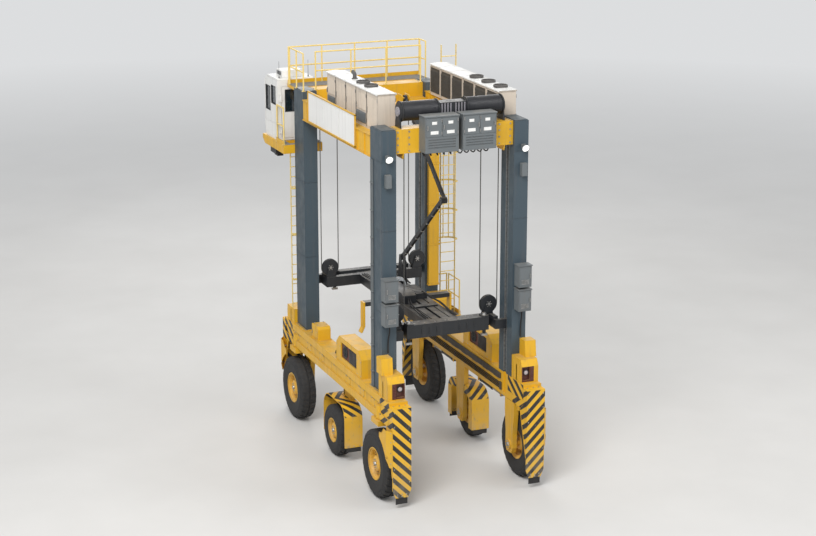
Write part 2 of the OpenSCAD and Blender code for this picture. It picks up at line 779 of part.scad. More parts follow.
module cab_door() placed() color(white) union() {
    difference() {
        block([door_x0 + door_gap, cab_y0 - 4, door_z0 + door_gap],
            [door_x0 + door_w - door_gap, cab_y0 + cab_wall - 4, door_z0 + door_h - door_gap]);
        block([door_x0 + door_edge, cab_y0 - 5, handle_z], [door_x0 + door_w - door_edge, cab_y0 + cab_wall, win_top - 80]);
    }
    for (z = HINGE_Z) difference() {
        union() {
            bar_z([hinge_x, hinge_y, z], hinge_h, hinge_r);
            block([hinge_x, cab_y0 - 16, z], [door_x0 + 90, cab_y0 - 3, z + hinge_h]);
        }
        bar_z([hinge_x, hinge_y, z - 1], hinge_h + 2, hinge_pin_r + run_gap);
    }
    bar_z([door_x0 + door_w - 70, cab_y0 - 50, handle_z], handle_l, 12);
    for (z = [handle_z + 10, handle_z + handle_l - 30]) {
        block([door_x0 + door_w - 80, cab_y0 - 50, z], [door_x0 + door_w - 60, cab_y0 - 3, z + 20]);
    }
}

// Driver's seat and the desk before it.
module cab_fittings() placed() color(black) {
    cab_seat();
    cab_console();
}

// Seat: cushion and back on a pedestal.
seat_x = (cab_x0 + cab_x1) / 2;
seat_y = cab_y0 + 680;
floor_z = cab_z + cab_wall;
module cab_seat() union() {
    block([seat_x - 120, seat_y - 120, floor_z + seat_gap], [seat_x + 120, seat_y + 120, floor_z + 330]);
    block([seat_x - 240, seat_y - 240, floor_z + 329], [seat_x + 240, seat_y + 240, floor_z + 450]);
    side_plate(seat_x - 220, 440, [
        [seat_y + 180, floor_z + 400], [seat_y + 240, floor_z + 400], [seat_y + 330, floor_z + 1120],
        [seat_y + 230, floor_z + 1120]
    ]);
}

// Desk with the steering wheel, before the seat.
module cab_console() union() {
    side_plate(cab_x0 + cab_wall + 180, cab_w - 2 * cab_wall - 360, [
        [cab_y0 + cab_wall + 15, floor_z + seat_gap], [cab_y0 + cab_wall + 230, floor_z + seat_gap],
        [cab_y0 + cab_wall + 330, floor_z + 680], [cab_y0 + cab_wall + 15, floor_z + 780]
    ]);
    translate([seat_x, cab_y0 + cab_wall + 290, floor_z + 690]) rotate([-25, 0, 0]) {
        cylinder(h = 90, r = 25);
        translate([0, 0, 90]) rotate_extrude() translate([150, 0]) circle(r = 14);
        for (a = [90, 210, 330]) {
            rotate([0, 0, a]) translate([0, -12, 80]) cube([150, 24, 16]);
        }
    }
}

// Platform under the cab, hung on the leg's back face, with the ladder's hatch before the door.
hatch_w = cab_ladder_w + 60;
hatch_y0 = leg_front + 120;
hatch_y1 = leg_front + landing_l - 60;
cab_ladder_x = -(leg_in + 75 + hatch_w / 2);
module cab_platform() difference() {
    union() {
        side_plate(cab_x0 - platform_edge, cab_w + platform_edge, [
            [leg_front, cab_z - platform_h], [platform_y1 - 200, cab_z - platform_h],
            [platform_y1, cab_z - platform_h + 140], [platform_y1, cab_z], [leg_front, cab_z]
        ]);
        side_plate(-leg_in - 50, 50, [
            [leg_front, cab_z - platform_h - 800], [leg_front + 60, cab_z - platform_h - 800],
            [leg_front + 900, cab_z - platform_h + 1], [leg_front, cab_z - platform_h + 1]
        ]);
    }
    block([cab_ladder_x - hatch_w / 2, hatch_y0, cab_z - platform_h - 1],
        [cab_ladder_x + hatch_w / 2, hatch_y1, cab_z + 1]);
}

// The cab's platform, the walkway behind the rear leg heads and the landing of the tall ladder.
module platforms() placed() color(yellow) {
    cab_platform();
    rear_walkway();
    ladder_landing();
}

module rear_walkway() union() {
    difference() {
        block([-leg_out, leg_front, leg_top - walk_t], [leg_out - 25, walk_y1, leg_top]);
        for (x = [-leg_out + 110 : 420 : leg_out - 460]) {
            block([x, leg_front + 90, leg_top - walk_t - 1], [x + 340, walk_y1 - 90, leg_top - 25]);
        }
    }
    both_sides() side_plate(leg_in + 20, 40, [
        [leg_front, leg_top - 600], [leg_front + 60, leg_top - 600], [leg_front + 340, leg_top - walk_t + 1],
        [leg_front, leg_top - walk_t + 1]
    ]);
}

// Landing at the foot of the tall ladder, on the outside of the right side beam.
landing_y0 = ladder_y - 330;
landing_y1 = ladder_y + 620;
landing_h = 220;
landing_inset = 120;
module ladder_landing() union() {
    block([beam_out, landing_y0, beam_top - landing_h], [cage_x1 - 20, landing_y1, beam_top]);
    for (y = [landing_y0 + landing_inset, landing_y1 - landing_inset - 40]) {
        translate([0, y + 40, 0]) rotate([90, 0, 0]) linear_extrude(height = 40) polygon([
            [beam_out, beam_z + 100], [beam_out + 80, beam_z + 100], [cage_x1 - 120, beam_top - landing_h + 1],
            [beam_out, beam_top - landing_h + 1]
        ]);
    }
}

// One flat panel of handrail: posts, a top rail and a knee rail. It runs along X from the origin.
module rail_panel(length, height) {
    posts = ceil(length / 1100);
    for (i = [0 : posts]) {
        translate([i * length / posts, 0, 0]) cylinder(h = height, r = rail_r, $fn = 24);
    }
    for (z = [height / 2, height]) {
        translate([0, 0, z]) rotate([0, 90, 0]) cylinder(h = length, r = rail_r, $fn = 24);
    }
    translate([0, 0, height]) sphere(r = rail_r, $fn = 24);
    translate([length, 0, height]) sphere(r = rail_r, $fn = 24);
}

// Columns: low x, low y, z, length, 1 if it runs along Y.
RAILS = [
    [-leg_out + 40, walk_y1 - 30, leg_top, leg_out + leg_out - 100, 0],
    [-leg_out + 40, leg_back + 60, leg_top, walk_y1 - leg_back - 180, 1],
    [leg_out - 60, leg_front + 70, leg_top, walk_y1 - leg_front - 140, 1],
    [-leg_in + 60, cross_y0 + 40, leg_top, 2 * leg_in - 120, 0],
    [cab_x0 - platform_edge + 30, leg_front + 40, cab_z, landing_l - 90, 1],
    [cage_x1 - 50, landing_y0 + 40, beam_top, landing_y1 - landing_y0 - 120, 1],
    [beam_out + 60, landing_y1 - 40, beam_top, cage_x1 - beam_out - 160, 0]
];

module handrails() placed() color(pale_yellow) {
    for (rail = RAILS) {
        translate([rail[0], rail[1], rail[2]]) rotate([0, 0, rail[4] * 90]) rail_panel(rail[3], rail_h);
    }
}

// A ladder along Z: two stiles and its rungs, the rungs along X.
module ladder(width, height) {
    for (x = [-width / 2 - stile_t, width / 2]) {
        translate([x, -stile_w / 2, 0]) cube([stile_t, stile_w, height]);
    }
    for (z = [rung_pitch / 2 : rung_pitch : height - 60]) {
        translate([-width / 2 - 1, 0, z]) rotate([0, 90, 0]) cylinder(h = width + 2, r = 14, $fn = 16);
    }
}

cage_z0 = 2300;
hoop_pitch = 900;
hoop_w = 50;
hoop_t = 8;
module ladders() placed() color(pale_yellow) {
    caged_ladder();
    cab_ladder();
}

// The tall ladder stands on its landing and runs up past the walkway's level.
module caged_ladder() translate([ladder_x, ladder_y, beam_top]) {
    cage_z1 = leg_top - beam_top - 80;
    ladder(ladder_w, leg_top + rail_h - beam_top);
    for (z = [cage_z0 : hoop_pitch : cage_z1 - hoop_w]) {
        translate([0, stile_w / 2, z]) hoop();
    }
    for (a = [30, 60, 90, 120, 150]) {
        translate([0, stile_w / 2, 0]) rotate([0, 0, a]) translate([cage_r - 2 * hoop_t, -15, cage_z0])
            cube([hoop_t + 1, 30, cage_z1 - cage_z0]);
    }
    for (z = [700 : 1500 : leg_top - beam_top - 300]) {
        block([leg_out - ladder_x, -12, z], [-ladder_w / 2 - 1, 12, z + 60]);
    }
}

// One hoop of the cage: a half ring that its two ends join to the stiles.
module hoop() {
    rotate_extrude(angle = 180, $fn = 48) translate([cage_r - hoop_t, 0]) square([hoop_t, hoop_w]);
    both_sides() block([ladder_w / 2 + 1, -20, 0], [cage_r, 2, hoop_w]);
}

// Ladder from the left rear foot up to the hatch of the cab's platform.
module cab_ladder() translate([cab_ladder_x, hatch_y0 + stile_w / 2 + 10, beam_top + rear_foot_h]) {
    leg_face = leg_front - hatch_y0 - stile_w / 2 - 10;
    half = cab_ladder_w / 2 + stile_t;
    ladder(cab_ladder_w, cab_z - beam_top - rear_foot_h);
    for (z = [900 : 1400 : cab_z - beam_top - rear_foot_h - 600]) {
        block([-half, leg_face, z], [half, leg_face + 12, z + 60]);
        for (x = [-half, half - stile_t]) {
            block([x, leg_face, z], [x + stile_t, 0, z + 60]);
        }
    }
}

// Spreader frame: four tubes for the telescoping arms, two cross members with sheave seats and guide shoes.
module spreader_frame() placed() color(black) union() {
    spreader_shell();
    mouth_pads();
}

tie_bar_y = 1400;
tie_bar_d = 200;
module spreader_shell() difference() {
    union() {
        both_sides() {
            for (x = [inner_tube_x, outer_tube_x]) {
                block([x - tube_w / 2, -tube_end, tube_z - tube_h / 2], [x + tube_w / 2, tube_end, tube_z + tube_h / 2]);
            }
            for (y = [-tie_bar_y, tie_bar_y - tie_bar_d]) {
                block([-1, y, tube_z - 60], [outer_tube_x, y + tie_bar_d, tube_z + tube_h / 2 + 40]);
            }
            both_ends() {
                block([-1, sheave_y - member_d / 2, cross_top - 300], [sheave_x + 130, sheave_y + member_d / 2, cross_top]);
                block([sheave_x - 20, sheave_y, cross_top - 300], [sheave_x + 130, leg_y + 70, cross_top - 40]);
                block([sheave_x + 129, leg_y - 70, cross_top - 300], [shoe_x, leg_y + 70, cross_top - 40]);
                for (y = [-sheave_w / 2 - 8 - cheek_t, sheave_w / 2 + 8]) {
                    side_cheek(sheave_y + y);
                }
            }
            block([outer_tube_x - 1, -110, tube_z - 60], [lock_x / 2 + 180, 110, tube_z + 60]);
        }
        cable_socket();
    }
    both_sides() {
        for (x = [inner_tube_x, outer_tube_x]) {
            block([x - tube_w / 2 + tube_wall, -tube_end - 1, tube_z - tube_h / 2 + tube_wall],
                [x + tube_w / 2 - tube_wall, tube_end + 1, tube_z + tube_h / 2 - tube_wall]);
        }
    }
}

module mouth_pads() both_sides() {
    arm_pads(inner_tube_x, -tube_end + pad_l / 2, run_gap, tele_gap + 1);
    arm_pads(outer_tube_x, tube_end - pad_l / 2, run_gap, tele_gap + 1);
}

// Wear pads in the mouth of a tube, and round the tail of a telescoping arm.
pad_l = 150;
module arm_pads(x, y, inner, outer) {
    for (side = [-1, 1]) {
        translate([x, y, tube_z + side * (tele_h / 2 + (inner + outer) / 2)])
            cube([tele_w - 20, pad_l, outer - inner], center = true);
        translate([x + side * (tele_w / 2 + (inner + outer) / 2), y, tube_z])
            cube([outer - inner, pad_l, tele_h - 20], center = true);
    }
}

// One cheek plate of a sheave, with the sheave's pin between the pair.
module side_cheek(y) {
    translate([0, y + cheek_t, 0]) rotate([90, 0, 0]) linear_extrude(height = cheek_t) polygon([
        [sheave_x - 180, cross_top - 1], [sheave_x + 130, cross_top - 1], [sheave_x + 70, sheave_z + 70],
        [sheave_x - 70, sheave_z + 70]
    ]);
}

// Two cheeks that the cable arm's lower eye stands between.
socket_gap = 10;
module cable_socket() {
    for (side = [-1, 1]) {
        side_plate(lower_x + side * (link_w / 2 + socket_gap + 12) - 12, 24, [
            [pivot_y - 200, tube_z + tube_h / 2 - 1], [pivot_y + 200, tube_z + tube_h / 2 - 1],
            [pivot_y + 70, socket_z + 70], [pivot_y - 70, socket_z + 70]
        ]);
    }
}

// Sheaves with the rope's loop round their lower half, on pins between the cheeks.
module spreader_sheaves() placed() color(black) both_sides() both_ends() translate([sheave_x, sheave_y, sheave_z])
    rotate([90, 0, 0]) union() {
        translate([0, 0, -sheave_w / 2]) cylinder(h = sheave_w, r = sheave_d / 2 - 25);
        for (z = [-sheave_w / 2, sheave_w / 2 - 25]) {
            translate([0, 0, z]) cylinder(h = 25, r = sheave_d / 2);
        }
        translate([0, 0, -sheave_w / 2 - 8 + seat_gap]) cylinder(h = sheave_w + 16 - 2 * seat_gap, r = 60);
    }

// Fixed side guides that hang below the spreader's middle and lead it over a container.
guide_drop = 650;
module spreader_guides() placed() color(yellow) both_sides() {
    x0 = lock_x / 2 + 180 + seat_gap;
    translate([0, 110, 0]) rotate([90, 0, 0]) linear_extrude(height = 220) polygon([
        [x0, tube_z + 60], [x0 + 60, tube_z + 60], [x0 + 60, spreader_z - guide_drop + 150],
        [x0 + 130, spreader_z - guide_drop], [x0 + 90, spreader_z - guide_drop], [x0, spreader_z - guide_drop + 180]
    ]);
}

// Spreader end: an end beam with two twistlocks and two telescoping arms.
module spreader_end(arm_x) {
    y0 = end_y - end_d / 2;
    union() {
        block([-lock_x / 2 - 90, y0, spreader_z], [lock_x / 2 + 90, y0 + end_d, spreader_z + end_h]);
        both_sides() {
            block([arm_x - tele_w / 2, y0 + 1 - end_travel - 700, tube_z - tele_h / 2],
                [arm_x + tele_w / 2, y0 + 1, tube_z + tele_h / 2]);
            arm_pads(arm_x, y0 + 1 - end_travel - 700 + pad_l / 2, -1, tele_gap - run_gap);
            bar_z([lock_x / 2, end_y, spreader_z - lock_len], lock_len + 1, lock_r);
            translate([lock_x / 2, end_y, spreader_z - lock_len - 60]) cylinder(h = 61, r1 = 25, r2 = lock_r);
        }
    }
}

module spreader_end_front() placed() color(black) mirror([0, 1, 0]) spreader_end(inner_tube_x);
module spreader_end_rear() placed() color(black) spreader_end(outer_tube_x);

// Hoist ropes: two falls at each corner, from the anchor to the sheave.
module hoist_ropes() placed() color([0.35, 0.35, 0.36]) both_sides() both_ends() {
    for (side = [-1, 1]) {
        bar_z([sheave_x + side * rope_x, sheave_y, sheave_z], anchor_z - sheave_z, rope_r, $fn = 16);
    }
}

// One link of the cable arm in the (y, z) plane, with an eye at each end.
module link(x0, from_y, from_z, to_y, to_z, bore_from, bore_to) {
    translate([x0, 0, 0]) rotate([90, 0, 90]) difference() {
        union() {
            for (p = [[from_y, from_z], [to_y, to_z]]) {
                translate([p[0], p[1], 0]) cylinder(h = link_w, r = eye_r);
            }
            translate([from_y, from_z, 0]) rotate([0, 0, atan2(to_z - from_z, to_y - from_y)])
                translate([0, -60, 8]) cube([link_l, 120, link_w - 16]);
        }
        if (bore_from) translate([from_y, from_z, -1]) cylinder(h = link_w + 2, r = link_pin_r + run_gap);
        if (bore_to) translate([to_y, to_z, -1]) cylinder(h = link_w + 2, r = link_pin_r + run_gap);
    }
}

module link_upper() placed() color(black) union() {
    link(link_x - link_w / 2, pivot_y, pivot_z, elbow_y, elbow_z, true, false);
    bar_x([lower_x - link_w / 2 - 10, elbow_y, elbow_z], link_w + 30, link_pin_r);
}

module link_lower() placed() color(black)
    link(lower_x - link_w / 2, elbow_y, elbow_z, pivot_y, socket_z, true, true);

side_beams();
legs();
cable_duct();
top_beams();
cross_beams();
cabinet_left();
engine_block();
cabinet_right();
front_boxes();
hoist_drums();
sign_panel();
drive_units();
wheel_guards();
middle_arms();
cab_shell();
cab_glass();
cab_door();
cab_fittings();
platforms();
handrails();
ladders();
steered_arm(WHEELS[0]);  // arm_front_left
steered_arm(WHEELS[1]);  // arm_front_right
steered_arm(WHEELS[4]);  // arm_rear_left
steered_arm(WHEELS[5]);  // arm_rear_right
tyre(WHEELS[0]);  // tyre_front_left
tyre(WHEELS[1]);  // tyre_front_right
tyre(WHEELS[2]);  // tyre_middle_left
tyre(WHEELS[3]);  // tyre_middle_right
tyre(WHEELS[4]);  // tyre_rear_left
tyre(WHEELS[5]);  // tyre_rear_right
rim(WHEELS[0]);  // rim_front_left
rim(WHEELS[1]);  // rim_front_right
rim(WHEELS[2]);  // rim_middle_left
rim(WHEELS[3]);  // rim_middle_right
rim(WHEELS[4]);  // rim_rear_left
rim(WHEELS[5]);  // rim_rear_right
spreader_frame();
spreader_sheaves();
spreader_guides();
spreader_end_front();
spreader_end_rear();
hoist_ropes();
link_upper();
link_lower();
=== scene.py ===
"""Looks of the straddle carrier: paint, treads, ropes, stripes, glass and small fittings.

Positions are written as in part.scad, in metres from the middle of the wheels, and moved once to the
frame's origin. In a loop over sides() they are written for the right side, and in one over corners()
for the rear right corner.
"""
import math
from itertools import product

import bmesh
import bpy
from mathutils import Matrix, Vector


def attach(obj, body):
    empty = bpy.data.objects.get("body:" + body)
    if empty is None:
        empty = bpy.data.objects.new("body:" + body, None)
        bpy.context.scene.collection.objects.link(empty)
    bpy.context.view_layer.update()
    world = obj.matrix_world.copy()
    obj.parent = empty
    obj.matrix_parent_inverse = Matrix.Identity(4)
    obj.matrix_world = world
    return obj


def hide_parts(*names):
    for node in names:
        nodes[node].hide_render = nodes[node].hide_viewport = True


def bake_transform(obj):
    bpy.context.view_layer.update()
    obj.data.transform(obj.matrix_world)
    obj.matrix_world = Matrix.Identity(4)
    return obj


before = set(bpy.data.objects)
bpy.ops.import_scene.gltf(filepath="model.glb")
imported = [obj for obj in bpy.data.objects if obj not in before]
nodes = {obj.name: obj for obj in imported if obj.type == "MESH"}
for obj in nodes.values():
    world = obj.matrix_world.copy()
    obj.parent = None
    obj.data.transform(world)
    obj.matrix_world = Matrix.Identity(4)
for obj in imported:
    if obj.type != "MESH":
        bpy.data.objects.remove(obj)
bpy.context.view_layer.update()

# Sizes as in part.scad.
MID = Vector((0.160, 0.450, 0.0))
HALF_TRACK = 2.120
AXLE_Y = 3.425
INNER_X = 1.705
BEAM_OUT = 2.245
BEAM_Z = 2.260
BEAM_TOP = 2.950
LEG_OUT = 2.125
LEG_FRONT = 3.490
LEG_BACK = 2.690
LEG_TOP = 10.150
TOP_BEAM_Z = 9.330
TOP_BEAM_TOP = 9.930
CROSS_Y1 = 3.400
SHEAVE = Vector((1.390, 2.600, 4.862))
ROPE_X = 0.2643
ROPE_R = 0.014
ANCHOR_Z = 9.400
TUBE_TOP = 4.570
CAB_X0 = -2.415
CAB_X1 = -1.265
CAB_Y0 = 4.190
CAB_Y1 = 5.390
CAB_Z = 8.450
CAB_TOP = 10.250
WALK_Y1 = 4.090
LADDER_X = 2.465
LADDER_Y = 2.750
# Side, place along the machine, diameter, width, rim diameter.
WHEELS = {
    "front_left": (-1, -AXLE_Y, 1.90, 0.50, 0.85),
    "front_right": (1, -AXLE_Y, 1.90, 0.50, 0.85),
    "middle_left": (-1, 0.0, 1.49, 0.43, 0.65),
    "middle_right": (1, 0.0, 1.49, 0.43, 0.65),
    "rear_left": (-1, AXLE_Y, 1.90, 0.50, 0.85),
    "rear_right": (1, AXLE_Y, 1.90, 0.50, 0.85),
}
# First post, height of the foot, length, and whether the rail runs along the machine.
RAILS = (
    (-2.085, 4.060, LEG_TOP, 4.150, False), (-2.085, 2.750, LEG_TOP, 1.220, True),
    (2.065, 3.560, LEG_TOP, 0.460, True), (-1.645, 2.940, LEG_TOP, 3.290, False),
    (-2.445, 3.530, CAB_Z, 0.610, True), (2.745, 2.460, BEAM_TOP, 0.830, True),
    (2.305, 3.330, BEAM_TOP, 0.390, False),
)
SIDES = (-1, 1)
OUT = Vector((1, 0, 0))
BACK = Vector((0, 1, 0))
UP = Vector((0, 0, 1))


# Materials.
class Graph:
    """The node tree of a new material, or of a world, with short calls for the nodes used here."""

    def __init__(self, name, world=None):
        self.owner = world or bpy.data.materials.new(name)
        self.owner.use_nodes = True
        self.tree = self.owner.node_tree
        self.shader = self.tree.nodes["Background" if world else "Principled BSDF"]
        self.output = self.tree.nodes["World Output" if world else "Material Output"]

    @property
    def place(self):
        return self.node("ShaderNodeTexCoord").outputs["Object"]

    def link(self, value, socket):
        if isinstance(value, bpy.types.NodeSocket):
            self.tree.links.new(value, socket)
        else:
            socket.default_value = value

    def node(self, kind, inputs=(), **settings):
        made = self.tree.nodes.new(kind)
        for key, value in settings.items():
            setattr(made, key, value)
        for key, value in dict(inputs).items():
            self.link(value, made.inputs[key])
        return made

    def scaled(self, scale, turn=(0, 0, 0)):
        inputs = {"Vector": self.place, "Scale": scale, "Rotation": turn}
        return self.node("ShaderNodeMapping", inputs).outputs[0]

    def noise(self, scale, detail, source=None):
        inputs = {"Vector": source or self.place, "Scale": scale, "Detail": detail, "Roughness": 0.55}
        return self.node("ShaderNodeTexNoise", inputs).outputs["Fac"]

    def wave(self, scale, direction, source=None):
        inputs = {"Vector": source or self.place, "Scale": scale}
        return self.node("ShaderNodeTexWave", inputs, bands_direction=direction).outputs["Fac"]

    def band(self, value, low, high, out_low=0.0, out_high=1.0):
        inputs = {"Value": value, "From Min": low, "From Max": high, "To Min": out_low, "To Max": out_high}
        return self.node("ShaderNodeMapRange", inputs, clamp=True).outputs[0]

    def clouds(self, scale, detail, low, high, *out, source=None):
        """Soft patches: noise stretched between two of its levels."""
        return self.band(self.noise(scale, detail, source), low, high, *out)

    def math(self, what, a, b=0.0):
        return self.node("ShaderNodeMath", {0: a, 1: b}, operation=what).outputs[0]

    def times(self, a, b):
        return self.math("MULTIPLY", a, b)

    def vector(self, what, output, a, b=(0, 0, 0)):
        return self.node("ShaderNodeVectorMath", {0: a, 1: b}, operation=what).outputs[output]

    def mix(self, factor, a, b):
        return self.node("ShaderNodeMix", {0: factor, 6: a, 7: b}, data_type="RGBA").outputs[2]

    def stain(self, base, colour, amount, strength):
        """The base with a colour laid over it."""
        return self.mix(self.times(amount, strength), base, colour)

    def axis(self, name, source=None):
        return self.node("ShaderNodeSeparateXYZ", {0: source or self.place}).outputs[name]

    def bump(self, height, strength, distance, under=None):
        inputs = {"Height": height, "Strength": strength, "Distance": distance}
        if under is not None:
            inputs["Normal"] = under
        return self.node("ShaderNodeBump", inputs).outputs[0]

    def set(self, **values):
        for key, value in values.items():
            self.link(value, self.shader.inputs[key.replace("_", " ")])
        return self.owner

    def blend_surface(self, factor, other):
        """Turns the shader into another one as the factor rises."""
        mixed = self.node("ShaderNodeMixShader", {0: factor, 1: self.shader.outputs[0], 2: other.outputs[0]})
        self.link(mixed.outputs[0], self.output.inputs["Surface"])


def rgb(r, g, b):
    return (r, g, b, 1.0)


DUST = rgb(0.36, 0.32, 0.26)
PRIMER = rgb(0.16, 0.13, 0.11)
BACKDROP = rgb(0.72, 0.73, 0.74)


def weathered(graph, colour, dust=0.35, streak=0.35, wear=0.6, low_dirt=0.5):
    """Paint with broad fading, runs of dirt down upright faces, dust on top and low down, and worn edges."""
    faded = rgb(*(c * 0.72 for c in colour[:3]))
    colour = graph.stain(colour, faded, graph.clouds(0.9, 4.0, 0.3, 0.7), 0.22)
    runs = graph.clouds(1.0, 5.0, 0.52, 0.78, source=graph.scaled((9.0, 9.0, 0.5)))
    colour = graph.stain(colour, PRIMER, runs, streak)
    normal = graph.node("ShaderNodeNewGeometry").outputs["Normal"]
    top = graph.times(graph.band(graph.axis("Z", normal), 0.6, 0.95), graph.clouds(3.0, 5.0, 0.35, 0.7))
    colour = graph.stain(colour, DUST, top, dust)
    low = graph.times(graph.band(graph.axis("Z"), 0.1, 2.6, 1.0, 0.0), graph.clouds(2.2, 6.0, 0.35, 0.75))
    colour = graph.stain(colour, DUST, low, low_dirt)
    bevel = graph.node("ShaderNodeBevel", {"Radius": 0.012}, samples=3).outputs[0]
    same = graph.vector("DOT_PRODUCT", "Value", bevel, normal)
    edge = graph.times(graph.band(same, 0.995, 0.9), graph.clouds(7.0, 6.0, 0.46, 0.6))
    return graph.stain(colour, PRIMER, edge, wear), bevel


def paint(name, colour, rough=0.42, **dirt):
    graph = Graph(name)
    colour, bevel = weathered(graph, rgb(*colour), **dirt)
    peel = graph.bump(graph.noise(55.0, 2.0), 0.10, 0.004, bevel)
    dents = graph.bump(graph.noise(1.7, 2.0), 0.12, 0.03, peel)
    shine = graph.clouds(2.6, 5.0, 0.3, 0.7, rough - 0.08, rough + 0.16)
    return graph.set(Base_Color=colour, Roughness=shine, Normal=dents, Specular_IOR_Level=0.45)


def striped(name, pitch=0.31, lean=0.62):
    """Yellow and black stripes that fall outwards on both sides; what the photo shows plain stays yellow."""
    graph = Graph(name)
    centred = graph.vector("ADD", 0, graph.place, tuple(MID))
    x, y = [graph.math("ABSOLUTE", graph.axis(axis, centred)) for axis in "XY"]
    z = graph.axis("Z")
    along = graph.math("SUBTRACT", z, graph.times(y, lean))
    turn = graph.math("FRACT", graph.math("DIVIDE", graph.math("SUBTRACT", along, x), pitch))
    black = graph.band(graph.math("ABSOLUTE", graph.math("SUBTRACT", turn, 0.5)), 0.245, 0.255)
    plain = 0.0
    for part, low, high in (
        (graph.band(y, 1.2, 1.1), 1.40, 1.38),  # lower half of the middle guards
        (graph.band(y, 4.29, 4.31), 2.850, 2.856),  # tops of the corner guards
        (graph.band(x, 2.238, 2.242), 2.253, 2.248),  # outer cheeks of the corner guards
    ):
        plain = graph.math("MAXIMUM", plain, graph.times(part, graph.band(z, low, high)))
    yellow = graph.mix(plain, rgb(0.76, 0.43, 0.02), rgb(0.73, 0.405, 0.016))
    colour = graph.mix(graph.math("MAXIMUM", black, plain), rgb(0.020, 0.020, 0.021), yellow)
    scuffs = graph.clouds(9.0, 6.0, 0.58, 0.72, source=graph.scaled((1.0, 1.0, 0.5)))
    colour = graph.stain(colour, rgb(0.24, 0.20, 0.15), scuffs, 0.55)
    low = graph.times(graph.band(z, 0.1, 1.5, 1.0, 0.0), graph.clouds(3.0, 6.0, 0.3, 0.7))
    colour = graph.stain(colour, DUST, low, 0.6)
    bumped = graph.bump(graph.noise(4.0, 3.0), 0.25, 0.02)
    return graph.set(Base_Color=colour, Roughness=graph.clouds(5.0, 4.0, 0.3, 0.7, 0.38, 0.62), Normal=bumped)


def rubber(name, colour=(0.022, 0.022, 0.023)):
    graph = Graph(name)
    dusty = graph.clouds(11.0, 8.0, 0.30, 0.85)
    base = graph.stain(rgb(*colour), rgb(0.15, 0.138, 0.12), dusty, 0.20)
    fine = graph.bump(graph.noise(90.0, 3.0), 0.25, 0.003)
    rough = graph.band(dusty, 0.0, 1.0, 0.62, 0.9)
    return graph.set(Base_Color=base, Roughness=rough, Normal=fine, Specular_IOR_Level=0.3)


def metal(name, colour, rough=0.38):
    graph = Graph(name)
    grime = graph.clouds(14.0, 5.0, 0.42, 0.68)
    base = graph.stain(rgb(*colour), rgb(0.08, 0.07, 0.06), grime, 0.45)
    bumped = graph.bump(graph.noise(70.0, 3.0), 0.2, 0.002)
    shine = graph.band(grime, 0.0, 1.0, rough, rough + 0.3)
    return graph.set(Base_Color=base, Metallic=0.9, Roughness=shine, Normal=bumped)


def rope_steel(name):
    """Wire rope: strands that wind round, dark grease between them."""
    graph = Graph(name)
    twist = graph.wave(16.0, "Z", graph.scaled((1.0, 1.0, 0.55), turn=(0.0, 0.6, 0.6)))
    base = graph.mix(twist, rgb(0.045, 0.043, 0.04), rgb(0.23, 0.225, 0.215))
    return graph.set(Base_Color=base, Metallic=0.7, Roughness=0.5, Normal=graph.bump(twist, 0.6, 0.006))


def fabric(name, colour):
    """Woven seat cloth: a fine crossed weave with a soft sheen."""
    graph = Graph(name)
    weave = graph.times(graph.wave(240.0, "X"), graph.wave(240.0, "Z"))
    base = graph.stain(rgb(*colour), rgb(*(c * 1.9 for c in colour)), graph.clouds(9.0, 4.0, 0.4, 0.7), 0.4)
    return graph.set(Base_Color=base, Roughness=0.92, Normal=graph.bump(weave, 0.35, 0.001), Sheen_Weight=0.4)


def glass(name, tint, alpha):
    graph = Graph(name)
    smear = graph.clouds(6.0, 5.0, 0.45, 0.75)
    graph.owner.surface_render_method = "BLENDED"
    graph.set(Alpha=alpha, Specular_IOR_Level=0.8, Coat_Weight=0.6)
    tinted = graph.stain(rgb(*tint), rgb(0.20, 0.20, 0.19), smear, 0.3)
    return graph.set(Base_Color=tinted, Roughness=graph.band(smear, 0.0, 1.0, 0.04, 0.16))


def lens(name, colour, glow):
    graph = Graph(name)
    ribs = graph.wave(26.0, "X")
    bright = rgb(*(min(1.0, c * 1.15) for c in colour))
    graph.set(Base_Color=graph.mix(ribs, rgb(*colour), bright), Roughness=0.15)
    return graph.set(Emission_Color=rgb(*colour), Emission_Strength=glow, Normal=graph.bump(ribs, 0.3, 0.004))


YELLOW = paint("golden_yellow_paint", (0.73, 0.405, 0.016), wear=0.5, streak=0.35)
RIM_PAINT = paint("rim_paint", (0.74, 0.40, 0.03), streak=0.15, low_dirt=0.45, wear=0.5)
PALE = paint("pale_yellow_paint", (0.83, 0.62, 0.20), streak=0.15, dust=0.15)
SLATE = paint("slate_paint", (0.050, 0.074, 0.092), rough=0.46, streak=0.25, wear=0.35, dust=0.3)
GREY = paint("grey_paint", (0.135, 0.150, 0.156), rough=0.48, streak=0.25)
BEIGE = paint("beige_paint", (0.60, 0.52, 0.43), rough=0.55, streak=0.35, wear=0.35)
WHITE = paint("white_paint", (0.80, 0.79, 0.76), rough=0.45, streak=0.22, wear=0.3)
BLACK = paint("black_paint", (0.018, 0.020, 0.023), rough=0.40, streak=0.1, dust=0.35, wear=0.2)
IRON = paint("raw_casting", (0.09, 0.085, 0.08), rough=0.7)
GRATE = paint("galvanised_grating", (0.30, 0.30, 0.29), rough=0.5, wear=0.2)
STRIPES = striped("warning_stripes")
CHEVRONS = striped("warning_chevrons", lean=-0.62)
DRIVE_RED = paint("drive_motor_paint", (0.095, 0.024, 0.017), rough=0.5, streak=0.3, dust=0.2)
TYRE = rubber("tyre_rubber")
PIPE = rubber("black_pipe", (0.012, 0.012, 0.013))
PALE_PIPE = paint("pale_pipe", (0.42, 0.44, 0.46), rough=0.6)
STEEL = metal("bare_steel", (0.45, 0.44, 0.42))
ROPE = rope_steel("wire_rope")
DRUM = paint("greased_drum", (0.022, 0.023, 0.027), rough=0.30, streak=0.05, dust=0.15, wear=0.1)
